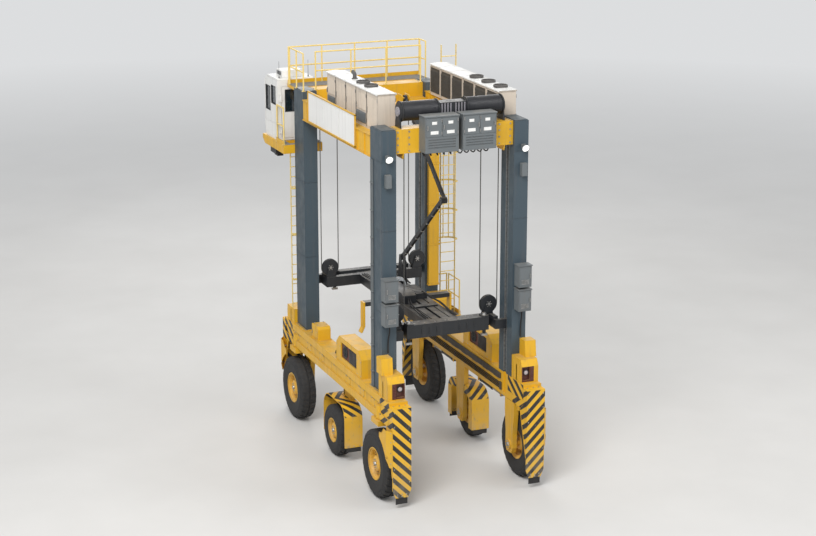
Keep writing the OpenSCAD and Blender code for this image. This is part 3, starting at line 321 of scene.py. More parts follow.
GEARBOX = paint("gearbox_paint", (0.30, 0.285, 0.31), rough=0.45)
# Dark paint of the cooling grilles, also used for the lane-side beam trays that stand for painted shade.
GRILLE_AND_SHADE_PAINT = paint("grille_and_painted_shade", (0.052, 0.045, 0.036), rough=0.6, streak=0.2, dust=0.2, wear=0.2)
GLASS = glass("tinted_cab_glass", (0.012, 0.022, 0.028), 0.72)
CLOTH = fabric("seat_cloth", (0.022, 0.023, 0.028))
PLASTIC = rubber("moulded_plastic", (0.030, 0.031, 0.034))
LAMP = lens("lamp_lens", (0.95, 0.94, 0.90), 0.6)
# Foot lamp lens: its pinkish grey tint and faint glow are a painted reflection.
PINK_REFLECTION_LENS = lens("lens_with_painted_reflection", (0.42, 0.36, 0.36), 0.02)
# The material of each CAD node that shows, by name.
FINISHES = (
    (YELLOW, "side_beams middle_arms drive_units top_beams cross_beams platforms cable_duct spreader_guides"),
    (YELLOW, "arm_front_left arm_front_right arm_rear_left arm_rear_right"),
    (RIM_PAINT, " ".join("rim_" + name for name in WHEELS)),
    (STRIPES, "wheel_guards"),
    (SLATE, "legs"),
    (BEIGE, "cabinet_left cabinet_right"),
    (IRON, "engine_block"),
    (GREY, "front_boxes"),
    (BLACK, "hoist_drums spreader_frame spreader_sheaves spreader_end_front spreader_end_rear"),
    (BLACK, "link_upper link_lower"),
    (WHITE, "sign_panel cab_shell cab_door"),
    (GLASS, "cab_glass"),
    (PALE, "handrails ladders"),
)


# Mesh building.
class Shape:
    """A piece in the making: plain solids in the machine's own metres, joined into one mesh at the end.

    Points are mirrored by `flip` as they come in, so that a loop can build all sides alike.
    """

    waiting = []
    flip = Vector((1, 1, 1))

    def __init__(self, name, material, slot, body="chassis", smooth=35.0, bevel=0.0, replaces=()):
        self.name, self.material, self.slot, self.body = name, material, slot, body
        self.smooth, self.bevel, self.replaces = math.radians(smooth), bevel, replaces
        self.mesh = bmesh.new()
        Shape.waiting.append(self)

    def faces(self, points, polygons):
        verts = [self.mesh.verts.new(p) for p in points]
        for polygon in polygons:
            self.mesh.faces.new([verts[i] for i in polygon])

    def loft(self, rings):
        """A skin over rings of as many points each, capped at both ends."""
        n = len(rings[0])
        last = (len(rings) - 1) * n
        starts = product(range(0, last, n), range(n))
        polygons = [(k + i, k + (i + 1) % n, k + n + (i + 1) % n, k + n + i) for k, i in starts]
        self.faces([p for r in rings for p in r], polygons + [range(n - 1, -1, -1), range(last, last + n)])

    def wrap(self, points, n, m):
        """A skin over n rings of m points, closed both ways."""
        cells = [(i * m, (i + 1) % n * m, k, (k + 1) % m) for i in range(n) for k in range(m)]
        self.faces(points, [(a + k, a + other, b + other, b + k) for a, b, k, other in cells])

    def box(self, low, high):
        """A block between two corners, given in any order."""
        (x0, x1), (y0, y1), (z0, z1) = [sorted(pair) for pair in zip(flipped(low), flipped(high))]
        self.loft([[(x0, y0, z), (x0, y1, z), (x1, y1, z), (x1, y0, z)] for z in (z0, z1)])

    def block(self, centre, half):
        """A block round its centre."""
        self.box(Vector(centre) - Vector(half), Vector(centre) + Vector(half))

    def bar(self, start, end, radius, sides, end_radius=None):
        """A round bar between two points, or a cone if it has an end radius."""
        start, end = flipped(start), flipped(end)
        turn = (end - start).normalized().to_track_quat("Z", "Y").to_matrix()
        end_radius = radius if end_radius is None else end_radius
        self.loft([[place + turn @ (away * r) for away in around("z", sides)]
                   for place, r in ((start, radius), (end, end_radius))])

    def bolt(self, place, direction, radius, height=None):
        """A hexagon head with a washer under it."""
        place, direction = Vector(place), Vector(direction).normalized()
        height = height or radius * 0.9
        self.bar(place, place + direction * height * 0.25, radius * 1.45, 12)
        self.bar(place, place + direction * height, radius, 6)

    def bolts(self, xs, ys, zs, direction, radius):
        """A bolt at each crossing of three rows, any of which may be one number."""
        rows = [each if isinstance(each, (list, tuple)) else [each] for each in (xs, ys, zs)]
        for place in product(*rows):
            self.bolt(place, direction, radius)

    def bolt_ring(self, centre, direction, reach, count, radius, height=None):
        """Bolts on a circle round X or Y."""
        for away in around("x" if direction[0] else "y", count):
            self.bolt(Vector(centre) + away * reach, direction, radius, height)

    def tube(self, points, radius, sides):
        """A round tube along points, closed at its ends."""
        points = [flipped(p) for p in points]
        rings, side = [], None
        for i, point in enumerate(points):
            along = (points[min(i + 1, len(points) - 1)] - points[max(i - 1, 0)]).normalized()
            side = side or along.orthogonal().normalized()
            side = (side - along * side.dot(along)).normalized()
            across = Matrix((side, along.cross(side), along)).transposed()
            rings.append([point + across @ away * radius for away in around("z", sides)])
        self.loft(rings)

    def run(self, points, count, radius, sides):
        """A tube on a rounded run through a few points."""
        points = [Vector(p) for p in points]
        padded = [points[0] * 2 - points[1]] + points + [points[-1] * 2 - points[-2]]
        spans, made = len(points) - 1, []
        for i in range(count):
            k = min(i * spans // (count - 1), spans - 1)
            u = i / (count - 1) * spans - k
            a, b, c, d = padded[k:k + 4]
            bend = (2 * a - 5 * b + 4 * c - d) * u * u + (3 * b - a - 3 * c + d) * u ** 3
            made.append(0.5 * (2 * b + (c - a) * u + bend))
        self.tube(made, radius, sides)

    def lathe(self, profile, centre, axis, sides):
        """A closed outline of (radius, place along the axis), turned round it."""
        turn = flipped(axis).to_track_quat("Z", "Y").to_matrix()
        centre = flipped(centre)
        points = [centre + turn @ (away * r + UP * h) for away in around("z", sides) for r, h in profile]
        self.wrap(points, sides, len(profile))

    def plate(self, outline, start, thickness, axis="x", at=(0, 0)):
        """A flat outline made thick along an axis: (y, z) points for X, (x, z) for Y, (x, y) for Z."""
        index = "xyz".index(axis)
        rings = []
        for t in (start, start + thickness):
            rings.append([[a + at[0], b + at[1]] for a, b in outline])
            for point in rings[-1]:
                point.insert(index, t)
        self.loft([[flipped(p) for p in ring] for ring in rings])

    def surround(self, axis, t0, t1, a0, a1, z0, z1, strip):
        """A rectangular frame of four strips, in an upright plane across X or Y."""
        for low, high in (
            ((a0, z0), (a1, z0 + strip)), ((a0, z1 - strip), (a1, z1)),
            ((a0, z0), (a0 + strip, z1)), ((a1 - strip, z0), (a1, z1)),
        ):
            self.box(*[(t, a, z) if axis == "x" else (a, t, z) for (a, z), t in ((low, t0), (high, t1))])

    def louvre(self, face, out, z, rise, start, end):
        """A slat along Y, on a face that looks out along X."""
        outline = ((0.010, rise), (0.030, 0.0), (0.034, 0.004), (0.012, rise + 0.006))
        self.plate([(out * depth, up) for depth, up in outline], start, end - start, "y", at=(face, z))

    def sheet(self, rows, shift):
        """A bent sheet through rows of points, made solid by shifting a copy of it."""
        m, n = len(rows), len(rows[0])
        front = [flipped(p) for row in rows for p in row]
        total = m * n
        border = list(range(n)) + [i * n + n - 1 for i in range(1, m)]
        border += [total - 2 - k for k in range(n - 1)] + [i * n for i in range(m - 2, 0, -1)]
        cells = [i * n + k for i, k in product(range(m - 1), range(n - 1))]
        polygons = [(a, a + 1, a + n + 1, a + n) for a in cells]
        polygons += [tuple(total + i for i in reversed(face)) for face in polygons]
        polygons += [(a, b, total + b, total + a) for a, b in zip(border, border[1:] + border[:1])]
        self.faces(front + [p + flipped(shift) for p in front], polygons)

    def finish(self):
        """Makes the piece, with edges sharp past its angle, and hands it to the frame."""
        Shape.waiting.remove(self)
        bmesh.ops.translate(self.mesh, verts=self.mesh.verts, vec=-MID)
        bmesh.ops.recalc_face_normals(self.mesh, faces=self.mesh.faces)
        for face in self.mesh.faces:
            face.smooth = True
        for edge in self.mesh.edges:
            edge.smooth = len(edge.link_faces) == 2 and edge.calc_face_angle(3.0) <= self.smooth
        data = bpy.data.meshes.new(self.name)
        self.mesh.to_mesh(data)
        self.mesh.free()
        data.materials.append(self.material)
        made = add_object(self.name, data)
        if self.bevel:
            modifier = made.modifiers.new("edges", "BEVEL")
            modifier.width = self.bevel
            modifier.segments = 2
            modifier.limit_method = "ANGLE"
            modifier.angle_limit = math.radians(40)
        if self.body:
            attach(made, self.body)
        if self.replaces:
            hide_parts(*self.replaces)
        return made


def flipped(point):
    return Vector([value * flip for value, flip in zip(point, Shape.flip)])


def mirror(side=1, end=1):
    """Says on which side and end of the machine the next solids are built."""
    Shape.flip = Vector((side, end, 1))


def sides():
    """Each side in turn, with all that is built there mirrored to it."""
    for side in SIDES:
        mirror(side)
        yield side
    mirror()


def corners():
    """Each side and end in turn, with all that is built there mirrored to it."""
    for side, end in product(SIDES, SIDES):
        mirror(side, end)
        yield side, end
    mirror()


def row(start, step, count):
    return [start + i * step for i in range(count)]


def around(axis, count, start=0.0):
    """Unit vectors round an axis, from an angle in degrees."""
    first, second = {"x": (BACK, UP), "y": (OUT, UP), "z": (OUT, BACK)}[axis]
    angles = row(math.radians(start), 2 * math.pi / count, count)
    return [first * math.cos(a) + second * math.sin(a) for a in angles]


def arc(centre, radius, start, end, count, first=OUT):
    """Points on an upright arc in degrees, from a level direction."""
    angles = row(math.radians(start), math.radians(end - start) / (count - 1), count)
    return [Vector(centre) + (first * math.cos(a) + UP * math.sin(a)) * radius for a in angles]


def add_object(name, data):
    made = bpy.data.objects.new(name, data)
    bpy.context.scene.collection.objects.link(made)
    return made


def aim(thing, place, target):
    thing.location = place
    thing.rotation_mode = "QUATERNION"
    thing.rotation_quaternion = (Vector(target) - Vector(place)).to_track_quat("-Z", "Y")


# Camera and light.
def make_camera():
    """The photo's camera, from its front left and above."""
    data = bpy.data.cameras.new("camera")
    data.lens = 86.0
    data.sensor_width = 36.0
    data.clip_start = 1.0
    data.clip_end = 500.0
    camera = add_object("camera", data)
    aim(camera, Vector((-20.25, -49.85, 20.35)) - MID, Vector((0.05, 0.0, 5.35)) - MID)
    bpy.context.scene.camera = camera


def make_stage():
    """The floor, the world and three soft lamps."""
    size = 160.0
    floor = bpy.data.meshes.new("floor")
    square = [(-size, -size, 0), (size, -size, 0), (size, size, 0), (-size, size, 0)]
    floor.from_pydata(square, [], [(0, 1, 2, 3)])
    graph = Graph("pale_floor")
    cloud = graph.clouds(0.25, 4.0, 0.3, 0.7)
    graph.set(Base_Color=graph.mix(cloud, rgb(0.60, 0.585, 0.56), rgb(0.64, 0.625, 0.60)), Roughness=0.9)
    # Far from the machine the floor turns into the pale backdrop, for the camera and in reflections.
    distance = graph.vector("LENGTH", "Value", graph.place)
    glow = graph.node("ShaderNodeEmission", {"Color": BACKDROP, "Strength": 1.0})
    graph.blend_surface(graph.band(distance, 22.0, 70.0), glow)
    floor.materials.append(graph.owner)
    ground = add_object("floor", floor)
    world = bpy.data.worlds.new("studio")
    bpy.context.scene.world = world
    sky = Graph("studio", world)
    sky.set(Color=rgb(0.93, 0.96, 1.0), Strength=0.62)
    rays = sky.node("ShaderNodeLightPath").outputs
    seen = sky.math("MAXIMUM", rays["Is Camera Ray"], rays["Is Glossy Ray"])
    seen = sky.math("MAXIMUM", seen, rays["Is Transmission Ray"])
    sky.blend_surface(seen, sky.node("ShaderNodeBackground", {"Color": BACKDROP}))
    # Name, place, power and size.
    for name, place, energy, size in (
        ("key", (-16, -20, 30), 9500.0, 16.0),
        ("fill", (26, -18, 16), 2600.0, 18.0),
        ("rim", (6, 26, 24), 3000.0, 14.0),
    ):
        light = bpy.data.lights.new(name, "AREA")
        light.energy = energy
        light.size = size
        aim(add_object(name, light), place, (0, 0, 4))


# Wheels.
def tyre(name, side, y, diameter, width, rim):
    """A tyre with skewed block lugs, in place of the plain one."""
    outer, half, bead = diameter / 2, width / 2, rim / 2 + 0.0003
    # Radius and depth inside the sidewall, from the bead to the crown.
    wall = [
        (bead, 0.060), (bead + 0.060, 0.020), (bead + 0.11, 0.010), (outer - 0.26, 0.004),
        (outer - 0.22, 0.0), (outer - 0.17, 0.003), (outer - 0.15, 0.014), (outer - 0.13, 0.004),
        (outer - 0.09, 0.012), (outer - 0.022, 0.050), (outer - 0.004, 0.085), (outer, 0.12),
        (outer, half - 0.022), (outer - 0.03, half - 0.018),
    ]
    profile = [(r, -half + t) for r, t in wall] + [(r, half - t) for r, t in reversed(wall)]
    first_lug = 8
    grooves = (0.0, 0.012, 0.026, 0.030, 0.030, 0.0)
    pitches = 26 if diameter > 1.6 else 22
    steps = (0.0, 0.05, 0.45, 0.50, 0.55, 0.62, 0.95, 0.99)
    centre = Vector((side * HALF_TRACK, y, outer))
    points = []
    for pitch, step in product(range(pitches), steps):
        for k, (r, h) in enumerate(profile):
            left = h < 0
            phase = (step + (0.0 if left else 0.5)) % 1.0
            index = (k if left else len(profile) - 1 - k) - first_lug + 1
            if phase < 0.04 or phase > 0.60:
                r -= grooves[min(max(index, 0), 5)]
            skew = 0.44 * (1 - abs(h) / half)
            turn = (pitch + step + skew) * 2 * math.pi / pitches
            points.append(centre + Vector((side * h, r * math.cos(turn), r * math.sin(turn))))
    replaced = ("tyre_" + name,)
    tread = Shape("tread_" + name, TYRE, "tyre_rubber", "wheel_" + name, smooth=28, replaces=replaced)
    tread.wrap(points, pitches * len(steps), len(profile))


def rim_fittings(name, side, y, diameter, width, rim):
    """Wheel nuts, hub bolts, the lock ring and its clips on a rim."""
    nuts = Shape("wheel_nuts_" + name, STEEL, "rim_paint", "wheel_" + name)
    lock = Shape("lock_ring_" + name, YELLOW, "rim_paint", "wheel_" + name)
    big = diameter > 1.6
    centre = Vector((HALF_TRACK, y, diameter / 2))
    hub = centre + OUT * (width / 2 - 0.062)
    edge = rim / 2
    mirror(side)
    nuts.bolt_ring(centre + OUT * 0.045, OUT, 0.31 if big else 0.262, 16 if big else 12, 0.020, 0.040)
    nuts.bolt_ring(hub, OUT, 0.115, 8, 0.014, 0.016)
    nuts.bar(hub, hub + OUT * 0.032, 0.062, 24, 0.05)
    section = ((0.022, 0.0), (0.034, 0.006), (0.030, 0.020), (0.012, 0.024), (-0.004, 0.012))
    lock.lathe([(edge + r, h) for r, h in section], hub + OUT * 0.016, OUT, 64)
    for away in around("x", 3, 40):
        lock.block(centre + OUT * 0.10 + away * (edge - 0.075), (0.012, 0.02, 0.02))
    mirror()


def make_wheels():
    """A tyre and the fittings of its rim, for all six wheels."""
    for name, sizes in WHEELS.items():
        tyre(name, *sizes)
        rim_fittings(name, *sizes)


# Undercarriage.
def make_beams():
    """Covers, pipes, clips and dark cable trays (painted shade) along the side beams, and the bolted flanges
    under the legs.
    """
    covers = Shape("beam_covers", YELLOW, "yellow_paint", bevel=0.003)
    shade_trays = Shape("beam_trays_painted_shade", GRILLE_AND_SHADE_PAINT, "black_paint", bevel=0.003)
    pipes = Shape("beam_pipes_and_painted_shade", PIPE, "black_paint")
    welds = Shape("leg_flanges", YELLOW, "yellow_paint", bevel=0.004)
    bolts = Shape("beam_bolts", STEEL, "yellow_paint")
    web = BEAM_OUT - 0.035
    for _ in sides():
        for y in (-3.3, -2.2, -1.1, 1.1, 2.2, 3.3):
            covers.box((web, y - 0.17, 2.50), (web + 0.008, y + 0.17, 2.71))
            bolts.bolts(web + 0.008, (y - 0.14, y + 0.14), (2.525, 2.685), OUT, 0.011)
        pipes.bar((web + 0.016, -3.55, 2.735), (web + 0.016, 3.55, 2.735), 0.012, 10)
        for y in range(-3, 4):
            bolts.box((web, y - 0.02, 2.705), (web + 0.032, y + 0.02, 2.755))
        # Brake and hydraulic pipes in clips, and a dark cable tray, along the lane side, put there as painted
        # shade on the beam's inner face.
        for z in (2.42, 2.47, 2.52, 2.57):
            pipes.bar((INNER_X - 0.017, -2.88, z), (INNER_X - 0.017, 2.88, z), 0.014, 12)
        shade_trays.box((INNER_X, -2.85, 2.70), (INNER_X - 0.034, 2.85, 2.86))
        for y in row(-2.59, 0.74, 8):
            bolts.box((INNER_X, y - 0.015, 2.395), (INNER_X - 0.006, y + 0.015, 2.595))
            bolts.bar((INNER_X - 0.004, y, 2.395), (INNER_X - 0.034, y, 2.395), 0.007, 8)
            shade_trays.box((INNER_X - 0.034, y - 0.18, 2.69), (INNER_X - 0.038, y + 0.18, 2.87))
    weld_top = BEAM_TOP + 0.022
    for _, end in corners():
        # A dark box at each end of the lane-side tray, also painted shade.
        shade_trays.box((INNER_X, 2.80, 2.385), (INNER_X - 0.040, 2.91, 2.605))
        for y, edge in ((LEG_BACK, -0.06), (LEG_FRONT, 0.06)):
            welds.box((INNER_X + 0.02, y, BEAM_TOP), (BEAM_OUT - 0.04, y + edge, weld_top))
        welds.box((LEG_OUT, LEG_BACK, BEAM_TOP), (BEAM_OUT - 0.03, LEG_FRONT, weld_top))
        bolts.bolts(row(INNER_X + 0.07, 0.093, 5), LEG_BACK - 0.03, weld_top, UP, 0.016)
        bolts.bolts(LEG_OUT + 0.045, row(LEG_BACK + 0.05, 0.1, 8), weld_top, UP, 0.016)
        # Ribs down the sides of the feet, taller at the front.
        rib_top = BEAM_TOP + (0.4675 if end < 0 else 0.3825)
        for x in (INNER_X + 0.02, BEAM_OUT - 0.032):
            welds.box((x, LEG_FRONT + 0.28, BEAM_TOP), (x + 0.012, LEG_FRONT + 0.34, rib_top))


def make_foot_recesses():
    """The recess in each front foot: its red plates, its slats and a work lamp whose lens carries a painted
    reflection.
    """
    lamps = Shape("foot_lamps", BLACK, "black_paint")
    lenses = Shape("foot_lamp_lenses_painted_reflection", PINK_REFLECTION_LENS, "white_panel")
    backs = Shape("foot_recess_plates", DRIVE_RED, "black_paint")
    inner, foot, rim = INNER_X, BEAM_TOP, LEG_FRONT + 0.650
    back = rim - 0.058
    case = ((0.0, 0.0), (0.075, 0.0), (0.080, 0.01), (0.080, 0.045), (0.068, 0.055), (0.062, 0.040),
            (0.0, 0.040))
    for side in SIDES:
        mirror(side, -1)
        lamp = (inner + 0.155, back, foot + 0.30)
        lamps.lathe(case, lamp, BACK, 28)
        # The lens's pink tint is a painted reflection.
        lenses.lathe([(0.0, 0.040), (0.062, 0.040), (0.050, 0.050), (0.0, 0.054)], lamp, BACK, 28)
        backs.box((inner + 0.055, back + 0.002, foot + 0.095), (inner + 0.255, back - 0.002, foot + 0.445))
        backs.surround("y", rim, back, inner + 0.050, inner + 0.260, foot + 0.090, foot + 0.450, 0.003)
        # Left, right, bottom and top of each plate round the opening.
        for x0, x1, z0, z1 in ((0.025, 0.052, 0.035, 0.465), (0.263, 0.385, 0.035, 0.465),
                               (0.052, 0.263, 0.035, 0.087), (0.052, 0.263, 0.453, 0.465)):
            backs.box((inner + x0, rim + 0.006, foot + z0), (inner + x1, rim, foot + z1))
        slat = ((0.004, 0.028), (0.020, 0.0), (0.023, 0.004), (0.006, 0.032))
        for z in row(foot + 0.06, 0.043, 9):
            backs.plate(slat, inner + 0.280, 0.090, at=(rim, z))
    mirror()


def make_arms():
    """Yoke bolts, hub caps and brake pipes on the wheel arms."""
    for name, (side, y, diameter, *_) in WHEELS.items():
        steered = "middle" not in name
        body = "steer_" + name if steered else "chassis"
        bolts = Shape("arm_bolts_" + name, STEEL, "yellow_paint", body)
        pipe = Shape("brake_pipe_" + name, PIPE, "black_paint", body)
        z = diameter / 2
        cap = Vector((INNER_X - 0.040, y, z))
        mirror(side)
        bolts.bolt_ring(cap, -OUT, 0.105, 8, 0.014)
        bolts.bar(cap, cap - OUT * 0.022, 0.07, 24, 0.055)
        if steered:
            bolts.bolts(row(INNER_X + 0.12, 0.18, 3), (y - 0.19, y + 0.19), 2.098, -UP, 0.020)
        route = ((0.13, 0.20, 1.98), (0.152, 0.22, 1.75), (0.152, 0.19, z + 0.38), (0.154, 0.10, z + 0.12))
        pipe.run([(INNER_X + dx, y + dy, height) for dx, dy, height in route], 14, 0.011, 8)
        for height in (1.85, 1.6, z + 0.42):
            pipe.block((INNER_X + 0.147, y + 0.21, height), (0.008, 0.024, 0.012))
    mirror()


# Legs and top frame.
def make_legs():
    """Weld seams, conduits, slide strips and lamp lenses on the legs."""
    seams = Shape("leg_seams", SLATE, "slate_paint")
    strips = Shape("leg_slide_strips", STEEL, "slate_paint")
    pipes = Shape("leg_conduits", GREY, "grey_paint")
    lamps = Shape("leg_lamp_lenses", LAMP, "white_panel")
    seam = 0.007
    for _ in corners():
        for z in (5.20, 7.45, 9.32):
            top = z + 0.018
            seams.box((LEG_OUT, LEG_BACK, z), (LEG_OUT + seam, LEG_FRONT, top))
            seams.box((INNER_X + 0.001, LEG_FRONT, z), (LEG_OUT, LEG_FRONT + seam, top))
            seams.box((INNER_X + 0.001, LEG_BACK, z), (LEG_OUT, LEG_BACK - seam, top))
        for y in (3.002, 3.156):
            strips.box((INNER_X + 0.001, y, 3.0), (INNER_X + 0.044, y + 0.022, 9.62))
        cap = (LEG_OUT - 0.02, LEG_FRONT - 0.03, LEG_TOP + 0.02)
        seams.box((INNER_X + 0.02, LEG_BACK + 0.03, LEG_TOP), cap)
    # On the front legs.
    tilt = Matrix.Rotation(math.radians(110), 3, "X") @ UP
    for _ in sides():
        for y, r in ((-2.790, 0.022), (-2.845, 0.016), (-2.900, 0.016)):
            pipes.bar((LEG_OUT + r, y, BEAM_TOP), (LEG_OUT + r, y, 9.30), r, 10)
        for z in row(3.4, 0.75, 8):
            pipes.box((LEG_OUT, -2.93, z), (LEG_OUT + 0.048, -2.76, z + 0.03))
        centre = Vector((INNER_X + 0.26, -LEG_FRONT - 0.095, 9.45)) + tilt * 0.089
        lamps.bar(centre, centre + tilt * 0.012, 0.100, 32, 0.085)


def make_cabinets():
    """Ribbed sides, roofs, handles, vents, fans and the exhaust of the machinery cabinets."""
    ribs = Shape("cabinet_ribs", BEIGE, "beige_panel")
    roofs = Shape("cabinet_roofs", WHITE, "white_panel")
    handles = Shape("cabinet_handles", STEEL, "grey_paint")
    vents = Shape("cabinet_vents", GREY, "grey_paint")
    grilles = Shape("cabinet_grilles", GRILLE_AND_SHADE_PAINT, "black_paint")
    pipe = Shape("exhaust_and_fans", IRON, "black_paint")
    half, bay = 0.25, 0.80
    y0, z0 = -2.670, TOP_BEAM_TOP

    def cooler_side(face, start, end, top):
        """Framed dark grilles from sill to roof, on a face that looks to the machine's middle."""
        grilles.box((face, start + 0.02, z0 + 0.09), (face - 0.010, end - 0.02, top - 0.09))
        for z in row(z0 + 0.11, 0.040, int((top - z0 - 0.24) / 0.040)):
            grilles.louvre(face, -1, z, 0.030, start + 0.04, end - 0.04)
        for y in (start + 0.005, end - 0.035):
            ribs.box((face, y, z0 + 0.06), (face - 0.026, y + 0.030, top - 0.06))

    def door(face, out, start, end, top, vented):
        """Ribs, a handle and hinges, and louvres low down if it is vented."""
        low = z0 + (0.46 if vented else 0.08)
        for y in row(start + 0.05, 0.062, int((end - start - 0.10) / 0.062)):
            rib = ((0, 0), (out * 0.020, 0.012), (out * 0.020, 0.030), (0, 0.042))
            ribs.plate(rib, low, top - 0.14 - low, "z", at=(face, y))
        if vented:
            vents.box((face, start + 0.05, z0 + 0.10), (face + out * 0.012, end - 0.05, z0 + 0.40))
            for z in row(z0 + 0.125, 0.033, 8):
                vents.louvre(face, out, z, 0.026, start + 0.07, end - 0.07)
        handles.box((face, end - 0.055, z0 + 0.46), (face + out * 0.034, end - 0.030, z0 + 0.60))
        for z in (z0 + 0.16, top - 0.22):
            hinge = Vector((face + out * 0.012, start + 0.012, z))
            handles.bar(hinge, hinge + UP * 0.09, 0.011, 10)

    # Middle, length and height of each.
    for x, length, height in ((-1.650, 3.90, 1.04), (1.875, 4.77, 0.90)):
        top = z0 + height
        doors = math.ceil(length / bay)
        for d, out in product(range(doors), SIDES):
            face = x + out * half
            start = y0 + d * bay + (0.024 if d else 0.0)
            end = min(y0 + (d + 1) * bay, y0 + length)
            if d:
                grilles.box((face, start - 0.027, z0 + 0.05), (face + out * 0.004, start + 0.003, top - 0.05))
            if x > 0 and out < 0:
                cooler_side(face, start, end, top)
            else:
                door(face, out, start, end, top, d % 3 == 1)
        # A shallow pitched roof with a rolled edge, and a lap at each bay.
        eave, lip = half + 0.030, half + 0.016
        skin = ((-eave, -0.030), (-eave, 0.004), (0, 0.030), (eave, 0.004), (eave, -0.030), (lip, -0.030),
                (lip, 0), (-lip, 0), (-lip, -0.030))
        lap = ((-eave, 0.004), (0, 0.030), (eave, 0.004), (eave, 0.016), (0, 0.042), (-eave, 0.016))
        roofs.plate(skin, y0 - 0.03, length + 0.06, "y", at=(x, top))
        for y in row(y0 + 0.02, bay, doors):
            roofs.plate(lap, y, 0.035, "y", at=(x, top))
    stack = Vector((-1.65, -0.30, 10.97))
    bend = ((0, 0.01), (0, 0.08), (0.02, 0.16), (0.14, 0.20))
    pipe.run([stack + Vector((0, y, z)) for y, z in bend], 10, 0.055, 20)
    pipe.bar(stack, stack + UP * 0.05, 0.10, 24, 0.075)
    # Fans: place across, height, radius and places along.
    for x, z, reach, ys in ((-1.65, 11.0, 0.19, (-0.95, -1.55)), (1.875, 10.86, 0.20, (-2.2, -1.4, -0.6))):
        bore = reach - 0.025
        hoop = ((0.02, 0.0), (reach, 0.0), (reach, 0.05), (bore, 0.055), (bore, 0.015), (0.02, 0.015))
        for y in ys:
            pipe.lathe(hoop, (x, y, z), UP, 32)
            hub = Vector((x, y, z + 0.03))
            for away in around("z", 7):
                pipe.bar(hub, hub + away * (reach - 0.02), 0.007, 6)


def make_sign():
    """Yellow frame, seams and rivets of the blank white panel."""
    border = Shape("sign_frame", YELLOW, "yellow_paint", bevel=0.003)
    rivets = Shape("sign_rivets", WHITE, "white_panel")
    x, y0, y1, z0, z1 = -2.175, -1.690, 2.110, 9.400, 10.280
    for z in (z0 - 0.012, z1 - 0.028):
        border.box((x - 0.018, y0 - 0.012, z), (x + 0.022, y1 + 0.012, z + 0.040))
    for y in (y0 - 0.012, y1 - 0.028):
        border.box((x - 0.018, y, z0), (x + 0.022, y + 0.040, z1))
    for y in (-0.42, 0.84):
        rivets.box((x - 0.006, y, z0 + 0.03), (x, y + 0.03, z1 - 0.03))
    for y, z in product(row(y0 + 0.08, 0.191, 20), (z0 + 0.05, z1 - 0.05)):
        rivets.bar((x, y, z), (x - 0.006, y, z), 0.010, 8)


def make_front_boxes():
    """Doors, hinges, handles, louvres, blank plates and conduits of the grey boxes."""
    doors = Shape("box_doors", GREY, "grey_paint", bevel=0.004)
    plates = Shape("box_blank_plates", WHITE, "white_panel")
    fittings = Shape("box_fittings", STEEL, "grey_paint")
    conduits = Shape("box_conduits", PIPE, "black_paint")
    for _ in sides():
        skin = -CROSS_Y1 - 0.42
        face = skin - 0.012
        for x in (0.09, 0.55):
            doors.box((x, face, 9.97), (x + 0.44, skin, 10.46))
            fittings.box((x + 0.40, skin - 0.045, 10.16), (x + 0.42, face, 10.28))
            for z in (10.02, 10.36):
                fittings.bar((x + 0.005, skin - 0.018, z), (x + 0.005, skin - 0.018, z + 0.08), 0.011, 10)
            plates.box((x + 0.10, skin - 0.016, 10.04), (x + 0.32, face, 10.13))
            plates.box((x + 0.14, skin - 0.016, 10.30), (x + 0.28, face, 10.38))
        bow = ((0, -3.52, 9.55), (0, -3.52, 9.46), (-0.03, -3.45, 9.40), (-0.05, -3.30, 9.44),
               (-0.06, -3.22, 9.51))
        for x in row(0.16, 0.19, 5):
            conduits.run([(x + dx, y, z) for dx, y, z in bow], 10, 0.017, 8)
        skin = -LEG_FRONT - 0.300
        face = skin - 0.010
        x0, x1 = INNER_X + 0.085, INNER_X + 0.415
        for z in (4.900, 5.580):
            doors.box((x0, face, z + 0.04), (x1, skin, z + 0.57))
            fittings.box((x1 - 0.03, skin - 0.036, z + 0.25), (x1 - 0.015, face, z + 0.37))
            for slot in row(z + 0.09, 0.035, 4):
                fittings.box((x0 + 0.05, skin - 0.018, slot), (x1 - 0.06, face, slot + 0.014))
        drop = ((1.95, -3.60, 4.90), (1.95, -3.60, 4.70), (1.96, -3.53, 4.45), (1.96, -3.515, 4.10))
        conduits.run(drop, 12, 0.020, 8)


def make_drums():
    """Rope wound on the drums, the gearbox's ribs, motors and the drum bearings."""
    wound = Shape("drum_rope", DRUM, "rope_steel", smooth=60)
    gear = Shape("hoist_gear", GEARBOX, "grey_paint", bevel=0.003)
    bolts = Shape("hoist_bolts", STEEL, "black_paint")
    y, z = -3.10, 10.570
    motor_z = 10.42
    core, first, pitch, turns = 0.240, 0.045, 0.0285, 34
    profile = []
    turn = ((0.004, 0), (0.017, 0.008), (0.020, 0.0143), (0.017, 0.0205))
    for start in row(first, pitch, turns):
        profile += [(core + r, start + h) for r, h in turn]
    last = first + turns * pitch
    profile += [(core + 0.004, last), (core - 0.01, last), (core - 0.01, first)]
    for _ in sides():
        wound.lathe(profile, (0.40, y, z), OUT, 40)
        gear.bar((1.49, y, z), (1.53, y, z), 0.13, 32)
        bolts.bolt_ring((1.53, y, z), OUT, 0.10, 8, 0.013)
        for x in row(0.06, 0.085, 4):
            gear.box((x, y - 0.215, 10.20), (x + 0.025, y + 0.215, 10.74))
        gear.bar((0.20, y + 0.20, motor_z), (0.20, y + 0.47, motor_z), 0.15, 32)
        for fin in row(y + 0.225, 0.026, 9):
            gear.bar((0.20, fin, motor_z), (0.20, fin + 0.010, motor_z), 0.168, 32)
        bolts.bolts((0.05, 0.15, 0.25, 0.34), y, 10.760, UP, 0.013)


